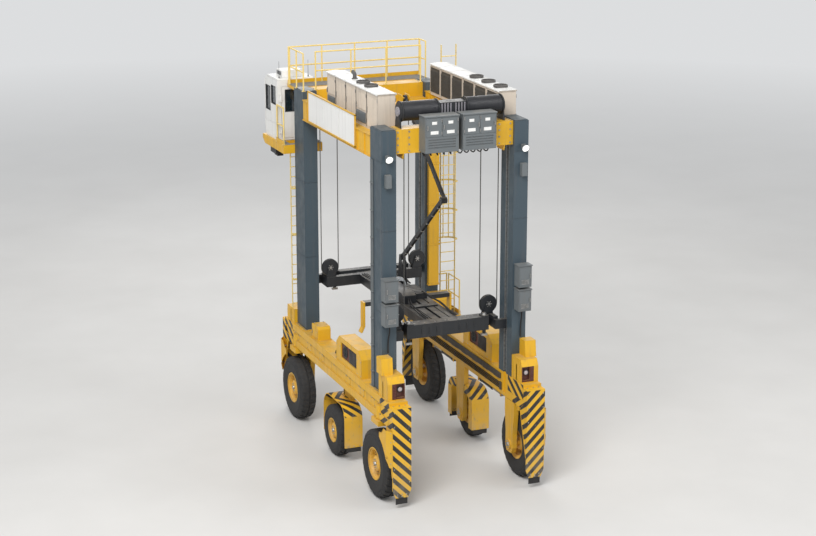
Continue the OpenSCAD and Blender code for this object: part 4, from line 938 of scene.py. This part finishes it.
def make_top_details():
    """Stiffeners and bolts on the top beams, lamps under them, and the arm bearer's bolts."""
    ribs = Shape("top_beam_ribs", YELLOW, "yellow_paint")
    bolts = Shape("top_frame_bolts", STEEL, "yellow_paint")
    lamps = Shape("lane_lamps", BLACK, "black_paint", bevel=0.006)
    lenses = Shape("lane_lamp_lenses", LAMP, "white_panel")
    low, high = TOP_BEAM_Z + 0.025, TOP_BEAM_TOP - 0.025
    for side in sides():
        for y in row(-2.3, 0.575, 9):
            behind_sign = side < 0 and -1.70 < y < 2.12
            if not behind_sign:
                ribs.box((LEG_OUT, y, low), (LEG_OUT + 0.028, y + 0.014, high))
            ribs.box((INNER_X, y, low), (INNER_X - 0.028, y + 0.014, high))
    x, y = 1.55, 1.9
    for side, _ in corners():
        bolts.bolts((1.30, 1.62), CROSS_Y1, (9.56, 9.74, 9.92, 10.08), BACK, 0.018)
        bolts.bolts(1.66, (2.98, 3.10, 3.22, 3.34), LEG_TOP, UP, 0.018)
        lamps.block((x, y, TOP_BEAM_Z - 0.075), (0.13, 0.05, 0.045))
        lamps.box((x - 0.015 * side, y - 0.012, TOP_BEAM_Z - 0.03), (x + 0.14, y + 0.012, TOP_BEAM_Z + 0.02))
        lenses.block((x, y, TOP_BEAM_Z - 0.125), (0.11, 0.04, 0.005))
    bolts.bolts((0.32, 0.35, 0.55, 0.58), 1.355, 9.62, -BACK, 0.014)


# Cab.
def make_cab():
    """Seals, roof, cooler, aerials, lamps, seams and wipers of the cab, and its door's seal and pane."""
    seals = Shape("window_seals", PLASTIC, "black_paint")
    roof = Shape("cab_roof_and_cooler", WHITE, "white_panel", bevel=0.012)
    black = Shape("cab_equipment", BLACK, "black_paint", bevel=0.004)
    trim = Shape("cab_seams", WHITE, "white_panel")
    wipers = Shape("cab_wipers", PIPE, "black_paint")
    # Axis that the window faces, where it stands on it, which way it looks, its span across and up.
    for axis, at, out, a0, a1, z0, z1 in (
        ("x", CAB_X0, -1, 4.32, 4.75, 9.50, 10.05), ("x", CAB_X0, -1, 4.83, 5.26, 9.25, 9.99),
        ("x", CAB_X1, 1, 4.32, 4.75, 8.80, 10.05), ("x", CAB_X1, 1, 4.83, 5.26, 8.80, 9.99),
        ("y", CAB_Y1, 1, -2.285, -1.395, 8.90, 9.99), ("y", CAB_Y0, -1, -1.605, -1.365, 9.25, 10.05),
    ):
        seals.surround(axis, at - out * 0.020, at + out * 0.006, a0, a1, z0, z1, 0.02)
    skin = ((CAB_Y0 + 0.01, 0), (CAB_Y0 + 0.04, 0.05), (CAB_Y1 - 0.24, 0.05), (CAB_Y1 - 0.17, 0))
    roof.plate(skin, CAB_X0 + 0.01, 1.13, at=(0, CAB_TOP))
    cooler = ((4.45, 0.04), (4.48, 0.24), (4.95, 0.24), (5.02, 0.18), (5.02, 0.04))
    roof.plate(cooler, -2.17, 0.66, at=(0, CAB_TOP))
    for y in row(4.52, 0.07, 6):
        black.box((-2.175, y, CAB_TOP + 0.09), (-2.165, y + 0.04, CAB_TOP + 0.20))
    for x, y in ((-1.40, 4.30), (-2.30, 4.32)):
        black.bar((x, y, CAB_TOP + 0.05), (x, y, CAB_TOP + 0.55), 0.008, 8, 0.004)
        black.bar((x, y, CAB_TOP + 0.04), (x, y, CAB_TOP + 0.10), 0.024, 16, 0.012)
    # Lamps over the rear window, and the black unit under the platform.
    for x in (-2.30, -1.38):
        black.box((x - 0.07, CAB_Y1 - 0.02, 10.04), (x + 0.07, CAB_Y1 + 0.045, 10.14))
    black.box((-2.44, 4.32, 8.02), (-2.10, 4.82, 8.20))
    black.box((-2.36, 4.40, 7.94), (-2.18, 4.70, 8.03))
    trim.box((CAB_X0 - 0.006, CAB_Y0 + 0.04, 8.93), (CAB_X0, CAB_Y1 - 0.06, 8.955))
    trim.box((CAB_X1, CAB_Y0 + 0.04, 8.66), (CAB_X1 + 0.006, CAB_Y1 - 0.16, 8.685))
    for y in (4.30, 4.79, 5.30):
        trim.box((CAB_X0 - 0.006, y - 0.012, 8.96), (CAB_X0, y + 0.012, 10.10))
    for y, z in product(row(4.28, 0.14, 8), (8.58, 10.16)):
        trim.bar((CAB_X0, y, z), (CAB_X0 - 0.005, y, z), 0.009, 8)
    for x0, x1, tip in ((-2.20, -1.90, 9.62), (-1.72, -1.46, 9.60)):
        wipers.bar((x0, CAB_Y1 + 0.012, 8.87), (x1, CAB_Y1 + 0.016, tip - 0.2), 0.008, 8)
        wipers.box((x1 - 0.008, CAB_Y1 + 0.006, tip - 0.42), (x1 + 0.008, CAB_Y1 + 0.020, tip + 0.05))
    x0, x1, z0, z1 = -2.175, -1.795, 9.30, 9.97
    seal = Shape("door_seal", PLASTIC, "black_paint", "cab_door")
    seal.surround("y", CAB_Y0 - 0.010, CAB_Y0 + 0.058, x0, x1, z0, z1, 0.018)
    pane = Shape("door_pane", GLASS, "cab_window", "cab_door")
    pane.box((x0 + 0.017, CAB_Y0 + 0.020, z0 + 0.017), (x1 - 0.017, CAB_Y0 + 0.030, z1 - 0.017))


def pad(name, outline, at, middle_x, half, crown):
    """A stuffed seat pad: a rounded block whose top or front swells, with two sewn channels."""
    shape = Shape(name, CLOTH, "seat_fabric", smooth=180)
    shape.plate(outline, middle_x - half, 2 * half, at=at)
    made = shape.finish()
    bevel = made.modifiers.new("corner", "BEVEL")
    bevel.width, bevel.segments, bevel.limit_method = 0.035, 3, "NONE"
    sub = made.modifiers.new("round", "SUBSURF")
    sub.levels = sub.render_levels = 3
    for modifier in list(made.modifiers):
        with bpy.context.temp_override(object=made, active_object=made, selected_objects=[made]):
            bpy.ops.object.modifier_apply(modifier=modifier.name)
    points = made.data.vertices
    low, high = [Vector([pick(v.co[i] for v in points) for i in range(3)]) for pick in (min, max)]
    middle, size = (low + high) / 2, (high - low) / 2
    lying = size.y > size.z
    for vertex in points:
        x, y, z = [(vertex.co[i] - middle[i]) / size[i] for i in range(3)]
        rise = crown * max(0.0, 1 - x ** 2) * max(0.0, 1 - (y if lying else z) ** 2)
        rise -= 0.006 * math.exp(-((abs(x) - 0.55) / 0.05) ** 2)
        if lying and z > 0:
            vertex.co.z += rise
        elif not lying and y < 0:
            vertex.co.y -= rise


def make_cab_inside():
    """Seat with padded cushions, armrests, the desk with its screens, and the steering wheel."""
    hard = Shape("cab_desk_and_seat_frame", PLASTIC, "seat_fabric", bevel=0.004, replaces=("cab_fittings",))
    levers = Shape("cab_levers", STEEL, "black_paint")
    x, y, z = -1.84, 4.87, 8.51
    pedestal = ((0.02, 0.0), (0.15, 0.0), (0.15, 0.02), (0.07, 0.06), (0.06, 0.28), (0.14, 0.315),
                (0.14, 0.33), (0.02, 0.33))
    hard.lathe(pedestal, (x, y, z), UP, 32)
    hard.box((x - 0.22, y - 0.22, z + 0.33), (x + 0.22, y + 0.22, z + 0.365))
    hard.plate([(0.20, 0.38), (0.235, 0.38), (0.325, 1.08), (0.295, 1.08)], x - 0.18, 0.36, at=(y, z))
    for side in SIDES:
        hard.box((x + side * 0.215, y - 0.14, z + 0.56), (x + side * 0.235, y + 0.22, z + 0.61))
        lever = Vector((x + side * 0.225, y - 0.10, z + 0.60))
        levers.bar(lever, lever + UP * 0.10, 0.010, 10, 0.016)
    desk = (CAB_Y0 + 0.075, z)
    hard.plate([(0, 0), (0.215, 0), (0.30, 0.66), (0.26, 0.72), (0, 0.78)], CAB_X0 + 0.24, 0.67, at=desk)
    for screen in (CAB_X0 + 0.62, CAB_X0 + 0.78):
        hard.plate([(0.02, 0.80), (0.05, 0.80), (0.02, 0.98), (-0.01, 0.98)], screen, 0.13, at=desk)
    tilt = Matrix.Rotation(math.radians(-25), 3, "X") @ UP
    foot = Vector((x, CAB_Y0 + 0.35, z + 0.69))
    hub = foot + tilt * 0.09
    levers.bar(foot, hub, 0.022, 16)
    hard.lathe([(0.150 + away.x * 0.012, away.y * 0.012) for away in around("z", 10)], hub, tilt, 40)
    for angle in (90, 210, 330):
        spoke = Matrix.Rotation(math.radians(angle), 3, tilt) @ tilt.orthogonal().normalized()
        hard.bar(hub, hub + spoke * 0.148, 0.011, 8)
    hard.bar(hub - tilt * 0.01, hub + tilt * 0.02, 0.035, 20)
    # Name, outline, half width and crown of each pad.
    for name, outline, half, crown in (
        ("seat_cushion", ((-0.235, 0.365), (0.235, 0.365), (0.235, 0.450), (-0.235, 0.450)), 0.235, 0.012),
        ("seat_back", ((0.13, 0.45), (0.205, 0.45), (0.295, 1.00), (0.22, 1.00)), 0.21, 0.010),
        ("head_rest", ((0.235, 1.01), (0.30, 1.01), (0.32, 1.12), (0.255, 1.12)), 0.12, 0.008),
    ):
        pad(name, outline, (y, z), x, half, crown)


# Walkways, ladders and rails.
def make_walkways():
    """Open grating, toe boards, rail feet and ladder clips."""
    grate = Shape("walkway_grating", GRATE, "yellow_paint")
    toes = Shape("toe_boards", YELLOW, "pale_yellow_paint")
    feet = Shape("rail_feet", PALE, "pale_yellow_paint")
    clips = Shape("ladder_clips", STEEL, "pale_yellow_paint")

    def grating(x0, x1, y0, y1, z, hatch=(0, 0, 0, 0)):
        """Bars across and thin rods along, left out in the hatch."""
        left, right, near, far = hatch
        steps = int((y1 - y0) / 0.045)
        for y in row(y0, (y1 - y0) / steps, steps + 1):
            for a, b in ((x0, left), (right, x1)) if near < y < far else ((x0, x1),):
                grate.box((a, y - 0.0025, z), (b, y + 0.0025, z + 0.022))
        for x in row(x0, 0.10, int((x1 - x0) / 0.10) + 1):
            if not left < x < right:
                grate.box((x - 0.003, y0, z + 0.012), (x + 0.003, y1, z + 0.021))

    grating(-2.10, 2.08, LEG_FRONT + 0.03, WALK_Y1 - 0.02, LEG_TOP)
    hatch = (-2.24, -1.78, 3.61, 4.13)
    grating(CAB_X0 - 0.04, CAB_X1 - 0.02, LEG_FRONT + 0.02, CAB_Y0 - 0.05, CAB_Z, hatch)
    grating(BEAM_OUT + 0.02, 2.755, 2.44, 3.34, BEAM_TOP)
    # Spans across and along, and height, of each toe board.
    for x0, x1, y0, y1, z in (
        (-2.115, 2.095, WALK_Y1 - 0.010, WALK_Y1, LEG_TOP),
        (CAB_X0 - 0.058, CAB_X0 - 0.050, LEG_FRONT + 0.01, CAB_Y0 - 0.02, CAB_Z),
        (2.768, 2.774, 2.43, 3.36, BEAM_TOP),
        (BEAM_OUT + 0.02, 2.77, 3.360, 3.368, BEAM_TOP),
    ):
        toes.box((x0, y0, z), (x1, y1, z + 0.13))
    for x, y, z, length, along in RAILS:
        posts = math.ceil(length / 1.1)
        for reach in row(0, length / posts, posts + 1):
            foot = Vector((x, y, z)) + (BACK if along else OUT) * reach
            feet.block(foot + UP * 0.006, (0.05, 0.05, 0.006))
            feet.bar(foot, foot + UP * 0.06, 0.027, 16)
    for z, dx in product(row(3.15, 0.3, 24), (-0.254, 0.254)):
        clips.bar((LADDER_X + dx, LADDER_Y, z), (LADDER_X + dx * 0.985, LADDER_Y, z), 0.010, 8)


# Spreader.
def make_ropes():
    """The eight hoist falls between the top frame and the sheaves."""
    falls = Shape("hoist_falls", ROPE, "rope_steel", None, replaces=("hoist_ropes",))
    heights = row(SHEAVE.z, (ANCHOR_Z - SHEAVE.z) / 30, 31)
    for _ in corners():
        for x in (SHEAVE.x - ROPE_X, SHEAVE.x + ROPE_X):
            falls.tube([(x, SHEAVE.y, z) for z in heights], ROPE_R, 16)
    made = falls.finish()
    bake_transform(made)


def make_spreader():
    """Rope loops, sheave pins, pipes and power pack of the spreader, and the twistlocks of its ends."""
    loops = Shape("sheave_rope_loops", ROPE, "rope_steel", "spreader")
    pins = Shape("sheave_pins", STEEL, "black_paint", "spreader")
    pipes = Shape("spreader_pipes", PIPE, "black_paint", "spreader")
    bows = Shape("pipe_bows", PALE_PIPE, "grey_paint", "spreader")
    boxes = Shape("spreader_power_pack", BLACK, "black_paint", "spreader", bevel=0.008)
    bolts = Shape("spreader_bolts", STEEL, "black_paint", "spreader")
    for _ in corners():
        loops.tube(arc(SHEAVE, ROPE_X, 180, 360, 25), ROPE_R, 10)
        pins.bar(SHEAVE - BACK * 0.082, SHEAVE + BACK * 0.082, 0.045, 24)
        for way in (-BACK, BACK):
            pins.bolt_ring(SHEAVE + way * 0.0738, way, 0.075, 6, 0.010)
        bolts.bolts(row(0.7, 0.2, 4), 2.6, TUBE_TOP, UP, 0.016)
        boxes.box((1.37, 2.72, 4.531), (1.51, 3.02, 4.60))
    bolts.bolts((-0.385, -0.145, 0.145, 0.385), (-1.3, 1.3), 4.610, UP, 0.014)
    pack = ((-0.9, 0), (0.55, 0), (0.55, 0.23), (0.40, 0.29), (-0.75, 0.29), (-0.9, 0.23))
    boxes.plate(pack, -0.47, 0.40, at=(0, TUBE_TOP))
    boxes.box((0.06, -0.6, TUBE_TOP), (0.40, 0.35, 4.74))
    for y in row(-0.52, 0.14, 6):
        boxes.box((0.05, y, 4.60), (0.412, y + 0.02, 4.752))
    for x in (-0.40, -0.27, -0.14):
        boxes.bar((x, 0.55, 4.70), (x, 1.15, 4.70), 0.045, 20)
    ways = ((0.3, 0.8, 1.3, 2.0, 2.45), (-0.6, -1.0, -1.35, -2.0, -2.45))
    for x, ys in product((-0.43, -0.36, 0.46, 0.50), ways):
        route = zip((x * 0.5, x * 0.8, x, x, x), ys, (4.80, 4.70, 4.655, 4.60, 4.595))
        pipes.run(route, 24, 0.016, 8)
    # Place along, radius of the bow and radius of the pipe.
    for y, reach, thick in ((0.950, 0.210, 0.026), (0.875, 0.190, 0.022), (0.800, 0.165, 0.022)):
        bow = arc((0.13, y, TUBE_TOP + 0.03), reach, 0, 180, 25)
        bows.tube([bow[0] - UP * 0.03] + bow + [bow[-1] - UP * 0.03], thick, 12)
    y, pin = 2.9265, 1.1295
    for end, body in zip(SIDES, ("spreader_front", "spreader_rear")):
        plates = Shape(body + "_plates", BLACK, "black_paint", body, bevel=0.004)
        locks = Shape(body + "_locks", STEEL, "black_paint", body)
        for side in SIDES:
            mirror(side, end)
            plates.box((1.02, y - 0.135, 4.630), (1.21, y + 0.135, 4.66))
            locks.bar((pin, y, 4.66), (pin, y, 4.72), 0.07, 24, 0.05)
            locks.box((pin - 0.085, y - 0.045, 4.06), (pin + 0.085, y + 0.045, 4.125))
            locks.bolts((0.05, 0.35, 0.65, 0.95), y, 4.630, UP, 0.016)
            for x in row(0.32, 0.22, 3):
                plates.box((x, y + 0.12, 4.34), (x + 0.03, 3.058, 4.54))
    mirror()


def make_cable_arm():
    """Conduits, clamps and eye caps on the two links, lined up with them at rest."""
    pivot, elbow, socket = (1.2, 10.05), (-1.722, 7.70), (1.2, 5.35)
    # Name, places of the upper and lower eye, place across, and the side its conduits lie on.
    for name, start, end, x, side in (
        ("link_upper", pivot, elbow, 0.45, 1), ("link_lower", elbow, socket, 0.36, -1),
    ):
        conduits = Shape(name + "_conduits", PIPE, "black_paint", name)
        clamps = Shape(name + "_clamps", STEEL, "black_paint", name)
        eyes = Vector((x, *start)), Vector((x, *end))
        along = (eyes[1] - eyes[0]).normalized()
        out = Vector((0, -along.z, along.y)) * side
        for dx in (-0.022, 0.0, 0.022):
            foot = eyes[0] + out * 0.075 + OUT * dx
            conduits.tube([foot + along * t for t in row(0.25, 0.1625, 21)], 0.0105, 8)
        for t in row(0.35, 0.5, 7):
            centre = eyes[0] + along * t + out * 0.07
            clamps.bar(centre - OUT * 0.042, centre + OUT * 0.042, 0.022, 12)
        for eye in eyes:
            clamps.bar(eye - OUT * 0.0445, eye + OUT * 0.0445, 0.052, 24)


def make_guards():
    """Rubber flaps, edge beads and bolts of the striped guards, and the striped ends of the beams."""
    flaps = Shape("guard_flaps", TYRE, "black_paint")
    bolts = Shape("guard_bolts", STEEL, "yellow_paint")
    beads = Shape("guard_edges", YELLOW, "yellow_paint")
    stripes = Shape("beam_end_stripes", STRIPES, "yellow_paint")
    chevrons = Shape("beam_end_chevrons", CHEVRONS, "yellow_paint")
    x0, x1, nose = INNER_X, BEAM_OUT, 4.296
    low, high = BEAM_Z + 0.004, BEAM_TOP - 0.004

    def across(inset):
        return x0 + inset, (x0 + x1) / 2, x1 - inset

    for _ in corners():
        flaps.box((x0 + 0.10, 4.508, 0.13), (x1 - 0.10, 4.520, 0.44))
        bolts.bolts(across(0.14), 4.55, (0.36, 0.42), BACK, 0.013)
        bolts.bolts((x0 + 0.05, x1 - 0.05), 4.55, row(0.75, 0.40, 6), BACK, 0.012)
        bolts.bolts(across(0.10), 4.36, 2.870, UP, 0.016)
        for x in (x0 + 0.015, x1 - 0.015):
            beads.tube([(x, 4.512, 0.90), (x, 4.095, 2.236), (x, 4.150, 2.238)], 0.021, 10)
        # The beam's end: lower flange, web and upper flange outside, and its face to the lane in two parts.
        stripes.plate([(3.62, 2.466), (3.62, low), (4.154, low), (nose, 2.466)], x1, 0.003)
        stripes.box((x1 - 0.035, 3.62, 2.474), (x1 - 0.032, nose, 2.736))
        stripes.box((x1, 3.62, 2.744), (x1 + 0.003, nose, high))
        stripes.plate([(3.62, 2.496), (3.62, low), (4.148, low), (nose, 2.412), (nose, 2.496)], x0, -0.003)
        chevrons.box((x0, 3.30, 2.50), (x0 - 0.003, nose, high))
        # The guard over the middle wheel.
        flaps.box((x0 + 0.05, 0.868, 0.33), (x1 - 0.05, 0.860, 0.55))
        bolts.bolts(across(0.09), 0.88, 0.51, BACK, 0.012)
        beads.tube([(x1, 0.870, 0.475), (x1, 0.870, 1.25), (x1, 0.855, 1.37), (x1, 0.80, 1.50)], 0.012, 8)
        bolts.bolts(x0 + 0.20, (0.12, 0.24), 1.70, UP, 0.013)


def make_guard_wings():
    """Plain sheets that lead the outer side of each corner guard out and back round its tyre."""
    wings = Shape("guard_wings", YELLOW, "yellow_paint")
    beads = Shape("guard_wing_edges", YELLOW, "yellow_paint")
    stays = Shape("guard_wing_stays", STEEL, "yellow_paint")
    front, bend = 1.120, 0.950
    # Height, and how far ahead of the axle the rear edge is there.
    rear = ((1.20, 1.045), (1.32, 1.000), (1.43, 0.950), (1.53, 0.890), (1.62, 0.822), (1.69, 0.760),
            (1.76, 0.685), (1.82, 0.600), (1.905, 0.460), (2.030, 0.460), (2.065, 0.640), (2.235, 0.780))

    def at(ahead, z):
        out = 0.005 + 0.120 * min(1.0, (front - ahead) / (front - bend))
        return Vector((BEAM_OUT + out, AXLE_Y + ahead, z))

    rows = []
    for z, back in rear:
        middle = bend if back < bend else (front + back) / 2
        rows.append([at(a, z) for a in (front, (front + middle) / 2, middle, (middle + back) / 2, back)])
    for _ in corners():
        wings.sheet(rows, (-0.008, 0.004, 0.0))
        beads.tube([at(front - 0.01, 1.195)] + [line[-1] for line in rows], 0.009, 8)
        for ahead, z in ((1.020, 1.44), (0.890, 1.74), (0.800, 2.05)):
            place = at(ahead, z)
            stays.bar((BEAM_OUT - 0.01, place.y, z), (place.x - 0.006, place.y, z), 0.016, 10)
        for z in (1.32, 1.62, 1.92, 2.18):
            stays.bolt(at(front - 0.045, z) - OUT * 0.002, (0.817, 0.577, 0), 0.012)


def make_under_beam():
    """Steering cylinders hung under the beams, between the wheel arms."""
    barrels = Shape("steering_cylinders", BLACK, "black_paint")
    rods = Shape("steering_rods", STEEL, "black_paint")
    lugs = Shape("steering_lugs", YELLOW, "yellow_paint")
    x, z = 1.93, 2.06
    barrel = ((0.0, 0.0), (0.052, 0.0), (0.058, 0.006), (0.058, 0.05), (0.050, 0.056), (0.050, 0.74),
              (0.058, 0.746), (0.058, 0.79), (0.0, 0.79))
    for _ in corners():
        barrels.lathe(barrel, (x, 1.02, z), BACK, 28)
        barrels.bar((x, 0.90, z), (x, 1.03, z), 0.036, 20)
        rods.bar((x, 1.80, z), (x, 2.42, z), 0.026, 20)
        rods.bar((x - 0.035, 2.45, z), (x + 0.035, 2.45, z), 0.048, 20)
        for y in (0.92, 2.45):
            for inner in (x - 0.055, x + 0.035):
                lugs.box((inner, y - 0.03, 2.02), (inner + 0.02, y + 0.03, BEAM_Z))
            lugs.bar((x - 0.062, y, z), (x + 0.062, y, z), 0.018, 12)
        for y in (1.10, 1.70):
            lugs.tube([(x, y, 2.11), (x, y, 2.17), (x - 0.05, y, 2.21), (x - 0.10, y, 2.245)], 0.011, 8)


def make_chests():
    """Valve chests on the beams in front of the rear legs; the tall one stands only on the right."""
    chests = Shape("valve_chests", YELLOW, "yellow_paint", bevel=0.010)
    trim = Shape("valve_chest_doors", YELLOW, "yellow_paint", bevel=0.002)
    steel = Shape("valve_chest_fittings", STEEL, "grey_paint")
    # Side, spans across and along, top, and how far its front corner is cut.
    for side, x0, x1, y0, y1, top, cut in (
        (1, 1.735, 2.205, 2.130, 2.665, 3.740, 0.16),
        (1, 1.760, 2.160, 1.560, 2.060, 3.320, 0.08),
        (-1, 1.760, 2.160, 1.560, 2.100, 3.360, 0.08),
    ):
        mirror(side)
        door = top - cut
        outline = ((y1, BEAM_TOP), (y0, BEAM_TOP), (y0, door), (y0 + cut * 0.8, top), (y1, top))
        chests.plate(outline, x0, x1 - x0)
        for x, out in ((x0, -1), (x1, 1)):
            skin = x + out * 0.010
            trim.box((x, y0 + 0.06, BEAM_TOP + 0.05), (skin, y1 - 0.05, door - 0.05))
            steel.box((skin, y1 - 0.10, door - 0.20), (x + out * 0.030, y1 - 0.08, door - 0.10))
            steel.bolts(skin, (y0 + 0.09, y1 - 0.08), (BEAM_TOP + 0.08, door - 0.08), OUT * out, 0.009)
        trim.box((x0 - 0.015, y0 - 0.015, BEAM_TOP), (x1 + 0.015, y1 + 0.015, BEAM_TOP + 0.018))
        for x, y in product((x0 + 0.06, x1 - 0.06), (y0 + 0.22, y1 - 0.08)):
            steel.tube(arc((x, y, top), 0.028, 0, 180, 11, BACK), 0.006, 8)
    mirror()


def make_drive_units():
    """Slats, fans, motors and pipes in the drive hoods."""
    dark = Shape("drive_grilles", BLACK, "black_paint")
    core = Shape("drive_cores", DRIVE_RED, "black_paint")
    pipes = Shape("drive_pipes", PIPE, "black_paint")
    bolts = Shape("drive_bolts", STEEL, "yellow_paint")
    hoop = ((0.02, 0.0), (0.17, 0.0), (0.17, 0.024), (0.15, 0.028), (0.13, 0.010), (0.02, 0.010))
    for _ in sides():
        for x, out in ((INNER_X + 0.070, -1), (BEAM_OUT - 0.070, 1)):
            core.box((x, -1.77, 3.11), (x + out * 0.004, -0.53, 3.56))
            slat = ((0, 0), (out * 0.022, 0.004), (out * 0.022, 0.010), (0, 0.024))
            for z in row(3.13, 0.034, 12):
                dark.plate(slat, -1.75, 0.62, "y", at=(x, z))
            dark.lathe(hoop, (x, -0.83, 3.335), OUT * out, 40)
            hub = Vector((x + out * 0.018, -0.83, 3.335))
            for away in around("x", 9):
                dark.bar(hub, hub + away * 0.15, 0.006, 6)
            bolts.bolts(x + out * 0.04, (-2.10, -1.83, -0.47, -0.20), (3.02, 3.42), OUT * out, 0.012)
        for x, radius, path in (
            (1.95, 0.035, ((-0.16, 3.25), (0.02, 3.25), (0.15, 3.10), (0.18, 2.96))),
            (2.06, 0.025, ((-0.16, 3.15), (0.05, 3.14), (0.26, 3.04), (0.30, 2.96))),
        ):
            pipes.run([(x, y, z) for y, z in path], 14, radius, 12)


make_camera()
make_stage()
make_wheels()
make_beams()
make_foot_recesses()
make_arms()
make_legs()
make_cabinets()
make_sign()
make_front_boxes()
make_drums()
make_top_details()
make_cab()
make_cab_inside()
make_walkways()
make_ropes()
make_spreader()
make_cable_arm()
make_guards()
make_guard_wings()
make_under_beam()
make_drive_units()
make_chests()
for shape in list(Shape.waiting):
    shape.finish()
for material, names in FINISHES:
    for name in names.split():
        nodes[name].data.materials.clear()
        nodes[name].data.materials.append(material)

bpy.context.scene.view_settings.view_transform = "Standard"
